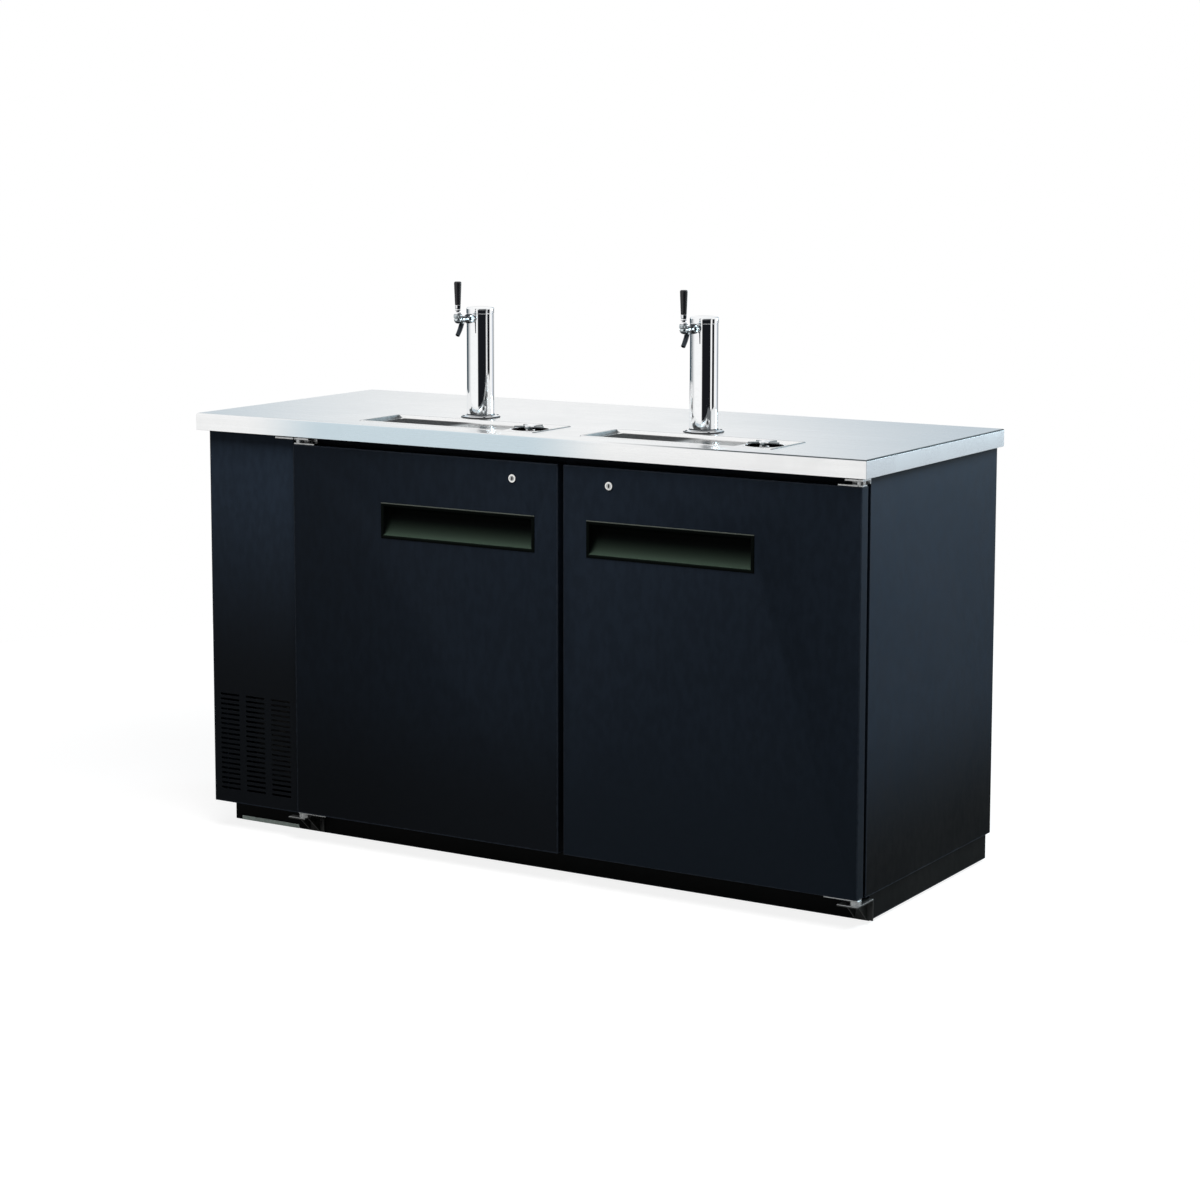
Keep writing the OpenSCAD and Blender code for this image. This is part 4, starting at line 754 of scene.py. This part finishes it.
def fin_material(name, colour, axis):
    """A finned coil: bright fins with painted shade in the gaps, from a sine across one axis, dust caught on
    the edges.
    """
    m = new_material(name, metallic=0.8, roughness=0.45)
    wave = m.maths("SINE", m.times(m.place()[axis], 2 * math.pi / FIN_PITCH))
    # Painted shade between the fins
    shaded_gap = m.span(wave, -0.5, 0.3)
    fins = m.blended(shaded_gap, scaled(colour, 0.08), colour)
    m.colour(m.blended(m.dust(30.0, 0.5), fins, FIN_DUST))
    m.relief(shaded_gap, 0.0006, 0.6)
    return m.owner


def corners(node):
    low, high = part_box(node)
    return tuple(low), tuple(high)


ROOM_LOW = (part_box("bulkhead_panel")[1].x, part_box("header_rail")[1].y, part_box("floor_panel")[1].z)
ROOM_HIGH = (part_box("right_side_panel")[0].x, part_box("rear_panel")[0].y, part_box("ceiling_panel")[0].z)
TAP_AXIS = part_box("faucet_shanks")[1].z - 9.5 * MM
COUNTER = counter_material("brushed_counter_steel", *corners("countertop"))
TRAY = steel_material("pressed_tray_steel", TRAY_STEEL, ALONG_TRAY, 0.20, 0.3)
MIRROR = chrome_material("tower_chrome", CHROME, 0.03)
TAP_METAL = tap_material("tap_chrome", TAP_AXIS)
# Painted reflection on the levers: bright where they face up, left and forward, dark where they turn from
# that
LEVER_METAL = chrome_material("lever_chrome", CHROME, 0.05, (-0.45, -0.30, 0.84), -0.30, 0.40)
# Painted reflection on the tower flanges: bright only where they face straight up, dark elsewhere
FLANGE = chrome_material("flange_chrome", CHROME, 0.06, (0.0, 0.0, 1.0), 0.80, 0.97)
BOWL = rinser_bowl_material("rinser_bowl_chrome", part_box("countertop")[1].z - 2 * MM)
HINGE = hinge_material("hinge_zinc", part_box("base_frame")[1].z - 12.5 * MM)
LOCK = plated_material("lock_plate", LOCK_PLATE, 0.24)
GALV = plated_material("galvanised_sheet", GALVANISED, 0.42, spangle=True)
INNER = steel_material("keg_room_liner", LINER, (1.0, 1.0, 0.02), 0.34, 0.6)
PIPE = plated_material("copper_line", COPPER, 0.30)
BLACK_MOULDING = moulded_material("black_moulding", MOULDING_BLACK, 0.34, 300.0, 0.00015, level=0.35)
HANDLE_GLOSS = moulded_material("tap_handle_black", HANDLE_BLACK, 0.16, 260.0, 0.00003, dusty=0.0)
STAR_GLOSS = moulded_material("rinser_star_plastic", STAR_GREY, 0.07, 260.0, 0.00002, level=0.8, dusty=0.0)
SEAL = moulded_material("door_seal_rubber", SEAL_BLACK, 0.55, 500.0)
MACHINE = moulded_material("machine_enamel", MACHINE_BLACK, 0.28, 150.0, 0.0001, dusty=0.5)
CORE = moulded_material("counter_board", BOARD, 0.7, 60.0, 0.0006, level=0.2)
CUP = cup_material("handle_cup_moulding", *corners("handle_cup_left"))
CONDENSER = fin_material("condenser_fins", CONDENSER_FIN, "X")
EVAPORATOR = fin_material("evaporator_fins", EVAPORATOR_FIN, "Y")
BASE = vinyl_material("vinyl_base_frame", *corners("base_frame"), BASE_BLACK)

FINISH_OF_SLOT = {"inner_liner": INNER, "counter_steel": COUNTER, "tray_steel": TRAY, "chrome_tap": MIRROR,
                  "hinge_steel": HINGE, "galvanised": GALV, "copper": PIPE, "machine_black": MACHINE,
                  "black_plastic": BLACK_MOULDING, "seal_rubber": SEAL}
FINISH_OF_NODE = {"counter_core": CORE, "condenser_coil": CONDENSER, "evaporator_coil": EVAPORATOR,
                  "rinser_bodies": BOWL, "base_frame": BASE}
for side in SIDES:
    pan, grate = "drip_pan_" + side, "drip_grate_" + side
    FINISH_OF_NODE[pan] = pan_material("drip_pan_steel_" + side, *corners(pan))
    FINISH_OF_NODE[grate] = grate_material("grate_steel_" + side, *corners(grate))
    FINISH_OF_NODE["rinser_star_" + side] = STAR_GLOSS
    FINISH_OF_NODE["lock_cylinder_" + side] = LOCK

for node, cad in frame["nodes"].items():
    finish = FINISH_OF_NODE.get(node) or FINISH_OF_SLOT.get(SLOT_OF[node])
    if finish is None:
        finish = vinyl_material("vinyl_" + node, *corners(node), **PANELS.get(node, {}))
    cad.data.materials.clear()
    cad.data.materials.append(finish)


# Towers and taps

def tower(side):
    """A chrome tower: a straight wall turned into a tube, its two ends a little eased. Gives the place of its
    axis in metres and its radius in millimetres."""
    low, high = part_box("tower_column_" + side)
    middle, r, top = (low + high) / 2, (high.x - low.x) / 2 / MM, (high.z - low.z) / MM
    inner = r - 1.5
    wall = [(inner, 0), (r - 0.4, 0), (r, 0.4), (r, top - 0.5), (r - 0.5, top), (inner, top)]
    column = turned(wall, (middle.x, middle.y, low.z), segments=160, ring=True)
    made("tower_tube_" + side, "cabinet", "chrome_tap", MIRROR, column, replaced=("tower_column_" + side,))
    return middle.x, middle.y, r


def tower_caps():
    """The caps: a shallow cup profile with an eased rim and a slightly crowned top."""
    low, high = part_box("tower_caps")
    seam, top = (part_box("tower_column_left")[1].z - low.z) / MM, (high.z - low.z) / MM
    shapes = []
    for x, y, r in TOWERS.values():
        plug, rim = r - 1.9, r + 0.6
        profile = [(0, 0), (plug, 0), (plug, seam), (rim - 0.5, seam), (rim, seam + 0.6), (rim, top - 3.2),
                   (rim - 2.6, top - 0.5), (rim * 0.5, top - 0.1), (0, top)]
        shapes.append(turned(eased(profile, 1.2), (x, y, low.z), segments=160))
    made("tower_crowns", "cabinet", "chrome_tap", MIRROR, *shapes, replaced=("tower_caps",))


def tower_feet():
    """The floor flanges: a thin round plate with an eased rim, a cove up to the column and the spigot inside
    it, on a seal and under four screws."""
    low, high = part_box("tower_flanges")
    top, plate, rim, bore, bed = (high.z - low.z) / MM, 4.5, 45, 25, 1.3
    shapes, screws, seals = [], [], []
    for x, y, r in TOWERS.values():
        foot, spigot = (x, y, low.z), r - 1.7
        seal = [(rim - 8, 0), (rim + 0.7, 0), (rim + 0.9, 0.6), (rim + 0.5, bed), (rim - 8, bed)]
        seals.append(turned(seal, foot, segments=120, ring=True))
        outer = eased([(bore, bed), (rim, bed), (rim, 2.6), (rim - 3.5, plate - 0.6), (r + 5, plate),
                       (r + 1.2, plate + 1.4), (r + 0.2, plate + 4.5), (r + 0.05, plate + 0.1)], 1.4)
        inside = [(spigot, plate + 0.1), (spigot, top), (bore, top)]
        shapes.append(turned(np.vstack([outer, inside]), foot, segments=160, ring=True))
        turn = np.pi / 4 + around(4)
        ring = r + 8.2
        holes = np.stack([ring * np.cos(turn), ring * np.sin(turn), np.full(4, 3.9)], axis=1)
        screws.append(repeated(socket_screw(3.2, (0, 0, 1)), np.array(foot) + MM * holes))
    made("tower_feet", "cabinet", "chrome_tap", FLANGE, *shapes, *screws, replaced=("tower_flanges",))
    made("tower_seals", "cabinet", "seal_rubber", SEAL, *seals)


def tap(side):
    """A tap: one wall turned round its axis, from the fluted coupling ring over neck and barrel to a round
    nose, with the valve's bore inside; a fluted bonnet ring turned upright on the nose; and the spout."""
    x, y, _ = TOWERS[side]
    z = TAP_AXIS
    root, reach = (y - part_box("faucet_body_" + side)[1].y) / MM, 92
    ring, neck, barrel, nose, bore = 11, 6.6, 8.2, 8.8, 5.25
    coupling = eased([(bore, root), (ring - 1, root), (ring, root + 1), (ring, root + 11),
                      (ring - 1, root + 12), (neck, root + 14.5), (neck, root + 21), (barrel, root + 34),
                      (barrel, reach - math.sqrt(nose ** 2 - barrel ** 2))], 1.2)
    sweep = np.linspace(-math.acos(barrel / nose), math.pi / 2, 18)[1:]
    dome = np.stack([nose * np.cos(sweep), reach + nose * np.sin(sweep)], axis=1)
    blind = [(0, reach + 6.4), (bore, reach + 6.2)]
    body = turned(np.vstack([coupling, dome, blind]), (x, y, z), (0, -1, 0), segments=144, ring=True,
                  flutes=(18, 0.9, root + 1.2, root + 10.8))
    bonnet = [(6.6, 4), (8.7, 4), (9.8, 5), (9.8, 10.6), (9, 13), (7.7, 13), (7.5, 12), (7.5, 4.2)]
    front = y - reach * MM
    collar = turned(eased(bonnet, 0.8), (x, front, z), segments=140, ring=True, flutes=(14, 1, 5.2, 10.2))
    made("tap_body_" + side, "cabinet", "chrome_tap", TAP_METAL, body, collar, spout(x, y, z),
         replaced=("faucet_body_" + side,), crease=40)
    lever(side, x, front, z)


def spout(x, y, z):
    """A spout: circles across a path that bows a little on its way forward and down, out along the wall and
    back up the bore. The first is slid along the path to a level plane in the barrel's wall, and both ends
    close. Sizes are in millimetres from where the axes of column and tap cross."""
    segments, inside = 40, 16
    ahead, run, below, fall, bow = 74, 20, 3, 33, 1.6
    wide, taper, bore, plane = 6.0, 0.9, 3.9, 5.6
    root = 0.079
    t = np.concatenate([[root], np.linspace(root + 0.12, 1, 24)])
    sway = bow * np.sin(np.pi * t)
    path = np.stack([0 * t, sway - ahead - run * t, -below - fall * t - 0.6 * sway], axis=1)
    tangent = unit(np.gradient(path, axis=0))
    way = np.vstack([tangent, tangent[::-1][:inside]])
    radius = np.concatenate([wide - taper * t, np.full(inside, bore)])
    across = np.array([1.0, 0, 0])
    spoke = spokes(segments, across, np.cross(way, across)[:, None])
    points = np.vstack([path, path[::-1][:inside]])[:, None] + radius[:, None, None] * spoke
    slide = (-plane - points[0, :, 2]) / tangent[0, 2]
    points[0] += slide[:, None] * tangent[0]
    ends = [np.repeat(row.mean(axis=0)[None, None], segments, axis=1) for row in (points[0], points[-1])]
    points = np.array((x, y, z)) + MM * np.concatenate([ends[0], points, ends[1]])
    return points.reshape(-1, 3), quads(len(points), segments)


def lever(side, x, y, z):
    """The lever and its handle, both turned upright: half a ball in the bonnet, a ringed ferrule, then the
    black handle, which widens evenly upwards and ends in an eased crown."""
    low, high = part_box("tap_handle_" + side)
    base, length = (low.z - z) / MM, (high.z - low.z) / MM
    arc = np.linspace(0, 1.0, 9)
    ball = np.stack([7 * np.cos(arc), 13 + 7 * np.sin(arc)], axis=1)
    ferrule = eased([(4, 19.4), (4, 20.2), (6.4, 21.4), (6.4, 23), (5.4, 23.8), (5.4, 25), (6.1, 26),
                     (6.6, base - 0.6), (6.2, base), (3, base), (3, base + 10), (0, base + 10)], 0.7)
    profile = np.vstack([[(0, 12.3), (6.4, 12.4)], ball, ferrule])
    made("tap_lever_" + side, side + "_lever", "chrome_tap", LEVER_METAL, turned(profile, (x, y, z)),
         replaced=("faucet_lever_" + side,), crease=40)
    foot, crown = 6.6, 8.5
    t = np.linspace(0, 1, 18)
    socket = [(0, 10.2), (3.1, 10.2), (3.1, 0), (foot - 0.6, 0)]
    flank = np.stack([foot + (crown - foot) * t, 1.2 + t * (length - 5.2)], axis=1)
    top = [(crown, length - 2.8), (crown - 0.7, length - 1.2), (crown - 2.4, length - 0.2),
           (crown - 4, length), (0, length)]
    made("tap_handle_grip_" + side, side + "_lever", "black_plastic", HANDLE_GLOSS,
         turned(np.vstack([socket, flank, top]), (x, y, low.z)), replaced=("tap_handle_" + side,), crease=40)


# Rinser heads, keyways and handle cups

def rinser_head(side):
    """The spray head on a rinser's star: a turned collar and a low dome with a shallow ring groove."""
    low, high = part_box("rinser_star_" + side)
    profile = [(0, 0.3), (13.5, 0.3), (13.5, 2.6), (12, 4.4), (9, 5), (8.3, 4.3), (7.5, 5.2), (0, 6.6)]
    place = (high.x - 36 * MM, (low.y + high.y) / 2, high.z - 4 * MM)
    made("rinser_head_" + side, side + "_star", "chrome_tap", MIRROR, turned(eased(profile, 0.9), place))


def keyway(side):
    """The slot for a key in a lock's face, as a black disc of painted shade: a flat turned disc, narrowed to
    a slot with round ends.
    """
    low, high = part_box("lock_cylinder_" + side)
    centre = np.array([(low.x + high.x) / 2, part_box("lock_plug_" + side)[0].y, (low.z + high.z) / 2])
    disc = eased([(0, -1.2), (4.6, -1.2), (4.6, 0.1), (0, 0.1)], 0.2)
    points, faces = turned(disc, (0, 0, 0), (0, -1, 0), segments=40)
    # A black disc of painted shade in the key slot
    made("lock_keyway_" + side, side + "_lock", "black_plastic", BLACK_MOULDING,
         (points * np.array([0.5, 1.0, 1.0]) + centre, faces))


def side_loop(box, inset, along=48, across=16):
    """The outline of a rectangle, moved in by an inset, as points that lie closest together near its corners:
    each side runs as its middle plus its half length times the cosine of an even turn."""
    run, rise = (np.cos(np.linspace(0, np.pi, count + 1)[:-1]) for count in (along, across))
    sides = [(run, 1 + 0 * run), (0 * rise - 1, rise), (-run, 0 * run - 1), (0 * rise + 1, -rise)]
    outline = np.concatenate([np.stack(pair, axis=1) for pair in sides])
    low, high = box[0] + inset, box[1] - inset
    return (low + high) / 2 + outline * (high - low) / 2


def handle_cup(side):
    """A recessed handle: an eased rim round a scoop whose depth is the greatest depth times a half ellipse
    over the height, leaning to the top, times a quarter ellipse in from each end. Its loops close on its
    middle line."""
    low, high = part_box("handle_cup_" + side)
    rim, ease, end_run = 8 * MM, 1.4 * MM, 11 * MM
    front, back = low.y, high.y
    deep = back - front - 3.2 * MM
    outer = np.array([(low.x, low.z), (high.x, high.z)])
    inner = outer + np.array([[rim], [-rim]])
    middle, half = inner.mean(axis=0), (inner[1] - inner[0]) / 2

    def flattened(points):
        return points * [1, 0] + [0, middle[1]]

    def scoop(points):
        height = np.clip((points[:, 1] - middle[1]) / half[1], -1, 1)
        from_end = np.clip((half[0] - np.abs(points[:, 0] - middle[0])) / end_run, 0, 1)
        depth = deep * np.sqrt(1 - height ** 2) * (1 + 0.22 * height) * np.sqrt(1 - (1 - from_end) ** 2)
        return stood(points, front + 0.8 * MM + depth * 0.9)

    edge = side_loop(outer, 0)
    rows = [stood(flattened(edge), back), stood(edge, back)]
    for t in np.linspace(0, np.pi / 2, 5):
        rows.append(stood(side_loop(outer, ease * (1 - np.cos(t))), front + ease * (1 - np.sin(t))))
    rows.append(stood(side_loop(inner, -0.8 * MM), front))
    rows.append(stood(side_loop(inner, -0.25 * MM), front + 0.25 * MM))
    insets = half[1] * (1 - np.cos(np.linspace(0, np.pi / 2, 22)[:-1]))
    rows += [scoop(side_loop(inner, inset)) for inset in insets]
    rows.append(scoop(flattened(side_loop(inner, insets[-1]))))
    points = np.concatenate(rows)
    made("handle_scoop_" + side, side + "_door", "black_plastic", CUP, (points, quads(len(rows), len(edge))),
         replaced=("handle_cup_" + side,), crease=50)


# Fittings in the keg room, on the doors and under the machine bay

def evaporator_guard():
    """A wire guard in front of the evaporator's fan: rings of wire at even steps of radius round the fan's
    axis, and four straight spokes across them, all of one gauge."""
    low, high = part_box("evaporator_fan")
    wire, hub, radius = 1.3, 0.22, (high.z - low.z) * 0.56
    centre = np.array((low + high) / 2)
    centre[0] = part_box("evaporator_housing")[1].x + 1.4 * MM
    along, side, up = np.array([(1, 0, 0), (0, -1, 0), (0, 0, 1)], float)
    circle = spokes(72, side, up)
    wires = [tube(centre + r * circle, wire, along) for r in np.linspace(hub, 1.0, 6) * radius]
    for turn in np.pi / 4 + around(4):
        way = math.cos(turn) * side + math.sin(turn) * up
        start, length = centre + way * hub * radius - along * 2 * wire * MM, 0.8 * radius / MM
        wires.append(turned([(0, 0), (wire, 0), (wire, length), (0, length)], start, way, segments=12))
    made("evaporator_guard", "cabinet", "galvanised", GALV, *wires)


def housing_screws():
    """Screws in the corners of the evaporator housing's front and right-hand faces."""
    low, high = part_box("evaporator_housing")
    inset = 14 * MM
    heights = (low.z + inset, high.z - inset)
    front = [(x, low.y, z) for x in (low.x + inset, high.x - inset) for z in heights]
    right = [(high.x, y, z) for y in (low.y + inset, high.y - inset) for z in heights]
    made("housing_screws", "cabinet", "hinge_steel", HINGE, repeated(socket_screw(4, (0, -1, 0)), front),
         repeated(socket_screw(4, (1, 0, 0)), right))


def bay_sill():
    """The sheet that closes the machine bay's underside ahead of the base, over the grille panel's flange: a
    rectangle with round corners, raised by its thickness, each face closed on its middle."""
    front_low, front_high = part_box("grille_panel")
    sheet, room, thick, lap = 1.5 * MM, 0.2 * MM, 1.1 * MM, 16 * MM
    outline = rounded_loop((front_low.x + sheet + room, front_high.y - lap),
                           (front_high.x - sheet - room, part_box("base_frame")[0].y - room), 0.5 * MM)
    middle = np.repeat(outline.mean(axis=0)[None], len(outline), axis=0)
    bottom = front_low.z + sheet + room
    rows = [(middle, bottom), (outline, bottom), (outline, bottom + thick), (middle, bottom + thick)]
    points = np.concatenate([np.insert(flat, 2, z, axis=1) for flat, z in rows])
    made("bay_sill", "cabinet", "black_cabinet", BASE, (points, quads(len(rows), len(outline))))


def liner_bead(side):
    """A bead pressed into a door's liner: a half-round ridge along a rectangle with round corners."""
    low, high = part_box("door_liner_" + side)
    inset, corner = 62 * MM, 45 * MM
    flat = rounded_loop((low.x + inset, low.z + inset), (high.x - inset, high.z - inset), corner, 12)
    bead = tube(stood(flat, high.y), 3.2, (0, 1, 0), 16)
    made("liner_bead_" + side, side + "_door", "inner_liner", INNER, bead)


TOWERS = {side: tower(side) for side in SIDES}
tower_caps()
tower_feet()
for make in (tap, rinser_head, keyway, handle_cup):
    for side in SIDES:
        make(side)
evaporator_guard()
housing_screws()
bay_sill()
for side in SIDES:
    liner_bead(side)

# Sheet metal, mouldings and castings with their edges eased, by millimetres
EASED = {"countertop": 1.6, "right_side_panel": 1.2, "left_side_panel": 1.2, "rear_panel": 1.0,
         "grille_panel": 0.7, "header_rail": 0.8, "center_mullion": 0.8, "base_frame": 0.6, "unit_tray": 0.4,
         "rear_vent_cover": 0.6, "rinser_bodies": 0.5, "hinge_brackets": 0.6, "compressor": 0.8,
         "fan_shroud": 0.4, "fan_motors": 0.8, "evaporator_housing": 0.8, "condenser_fan": 0.3,
         "evaporator_fan": 0.3, "levelling_feet": 0.6}
for side in SIDES:
    EASED.update({"door_panel_" + side: 1.4, "door_liner_" + side: 2.0, "door_gasket_" + side: 1.2,
                  "drip_pan_" + side: 0.5, "rinser_star_" + side: 1.0, "lock_cylinder_" + side: 0.5,
                  "lock_plug_" + side: 0.25, "hinge_straps_" + side: 0.5})
for node, ease in EASED.items():
    softened(node, ease * MM)


# The studio

def studio_world():
    """White all round for what the camera and polished metal see, with flags of other tones below and above
    the horizon for metal alone; matt surfaces get the same white at the room's level."""
    m = emptied(bpy.data.worlds.new("studio"))
    bpy.context.scene.world = m.owner
    x, y, z = m.axes(m.add("TexCoord").outputs["Generated"])
    azimuth = m.maths("ARCTAN2", x, m.times(y, -1.0))
    degrees = m.times(azimuth, 180 / math.pi)
    path = m.add("LightPath").outputs
    below = m.span(z, -0.02, 0.02, 1.0, 0.0)
    above = m.maths("SUBTRACT", m.span(z, 0.45, 0.7, 1.0, 0.0), below)
    colour = WHITE
    for flags, part in ((LOW_FLAGS, below), (HIGH_FLAGS, above)):
        share = m.times(part, path["Is Glossy Ray"])
        for start, end, soft, tone in flags:
            rise = m.span(degrees, start - soft, start + soft)
            fall = m.span(degrees, end - soft, end + soft, 1.0, 0.0)
            colour = m.blended(m.times(rise, fall, share), colour, tone)
    seen = m.maths("MAXIMUM", path["Is Camera Ray"], path["Is Glossy Ray"], path["Is Transmission Ray"])
    level = m.maths("ADD", ROOM_LEVEL, m.times(seen, 1.0 - ROOM_LEVEL))
    background = m.add("Background", {"Color": colour, "Strength": level})
    m.add("OutputWorld", {"Surface": background.outputs[0]})


def studio_floor():
    """A pale round floor: a matt surface that keeps the shadow, with a white lift that camera and metal see.
    For the camera the lift grows to full white at the rim."""
    mesh = bpy.data.meshes.new("studio_floor")
    rim = FLOOR_RADIUS * spokes(FLOOR_SEGMENTS, (1, 0, 0), (0, 1, 0))
    mesh.from_pydata(rim, [], [list(range(FLOOR_SEGMENTS))])
    floor = linked("studio_floor", mesh)
    m = emptied(bpy.data.materials.new("pale_floor"))
    path = m.add("LightPath").outputs
    far = m.vector("LENGTH", m.object_place())["Value"]
    growth = m.span(far, FLOOR_RADIUS * 0.45, FLOOR_RADIUS * 0.95, 1.0, 1.0 / FLOOR_LIFT)
    seen = m.maths("MAXIMUM", path["Is Camera Ray"], path["Is Transmission Ray"])
    seen = m.times(seen, FLOOR_LIFT, growth)
    mirrored = m.times(path["Is Glossy Ray"], FLOOR_LIFT_IN_METAL)
    matt = m.add("BsdfDiffuse", {"Color": (FLOOR_TONE, FLOOR_TONE, FLOOR_TONE, 1.0)})
    lift = m.add("Emission", {"Color": (*WHITE, 1.0), "Strength": m.maths("ADD", seen, mirrored)})
    both = m.add("AddShader", {0: matt.outputs[0], 1: lift.outputs[0]})
    m.add("OutputMaterial", {"Surface": both.outputs[0]})
    mesh.materials.append(m.owner)


def soft_light(name, place, target, size, power, colour, mirrored):
    """A square soft light that faces a target; glossy surfaces show it only where it is mirrored."""
    data = bpy.data.lights.new(name, "AREA")
    data.size = size
    data.energy = power
    data.color = colour
    lamp = linked(name, data)
    aim = Vector(place) - Vector(target)
    lamp.matrix_world = Matrix.Translation(place) @ aim.to_track_quat("Z", "Y").to_matrix().to_4x4()
    lamp.visible_camera = False
    lamp.visible_glossy = mirrored


def studio_camera():
    """Looks along (-sin azimuth cos pitch, cos azimuth cos pitch, -sin pitch), rolled a little."""
    data = bpy.data.cameras.new("photo_camera")
    data.lens, data.sensor_width = CAMERA_LENS, CAMERA_SENSOR
    data.shift_x, data.shift_y = CAMERA_SHIFT
    data.clip_end = CAMERA_REACH
    camera = linked("photo_camera", data)
    upright = Matrix.Rotation(CAMERA_AZIMUTH, 4, "Z") @ Matrix.Rotation(math.pi / 2 - CAMERA_PITCH, 4, "X")
    camera.matrix_world = Matrix.Translation(CAMERA_PLACE) @ upright @ Matrix.Rotation(CAMERA_ROLL, 4, "Z")
    bpy.context.scene.camera = camera


studio_world()
studio_floor()
soft_light("overhead", (0.0, -0.95, 2.2), (0.0, -0.4, 0.6), 1.4, 42, WHITE, mirrored=False)
soft_light("side_fill", (1.75, -0.1, 1.95), (0.86, 0, 0.9), 0.8, 31, (0.85, 0.96, 1.0), mirrored=False)
soft_light("side_sheen", (3.0, 4.5, 1.7), (0.86, 0, 0.8), 1.4, 90, (0.7, 0.9, 1.0), mirrored=True)
studio_camera()
bpy.context.scene.view_settings.view_transform = "Standard"
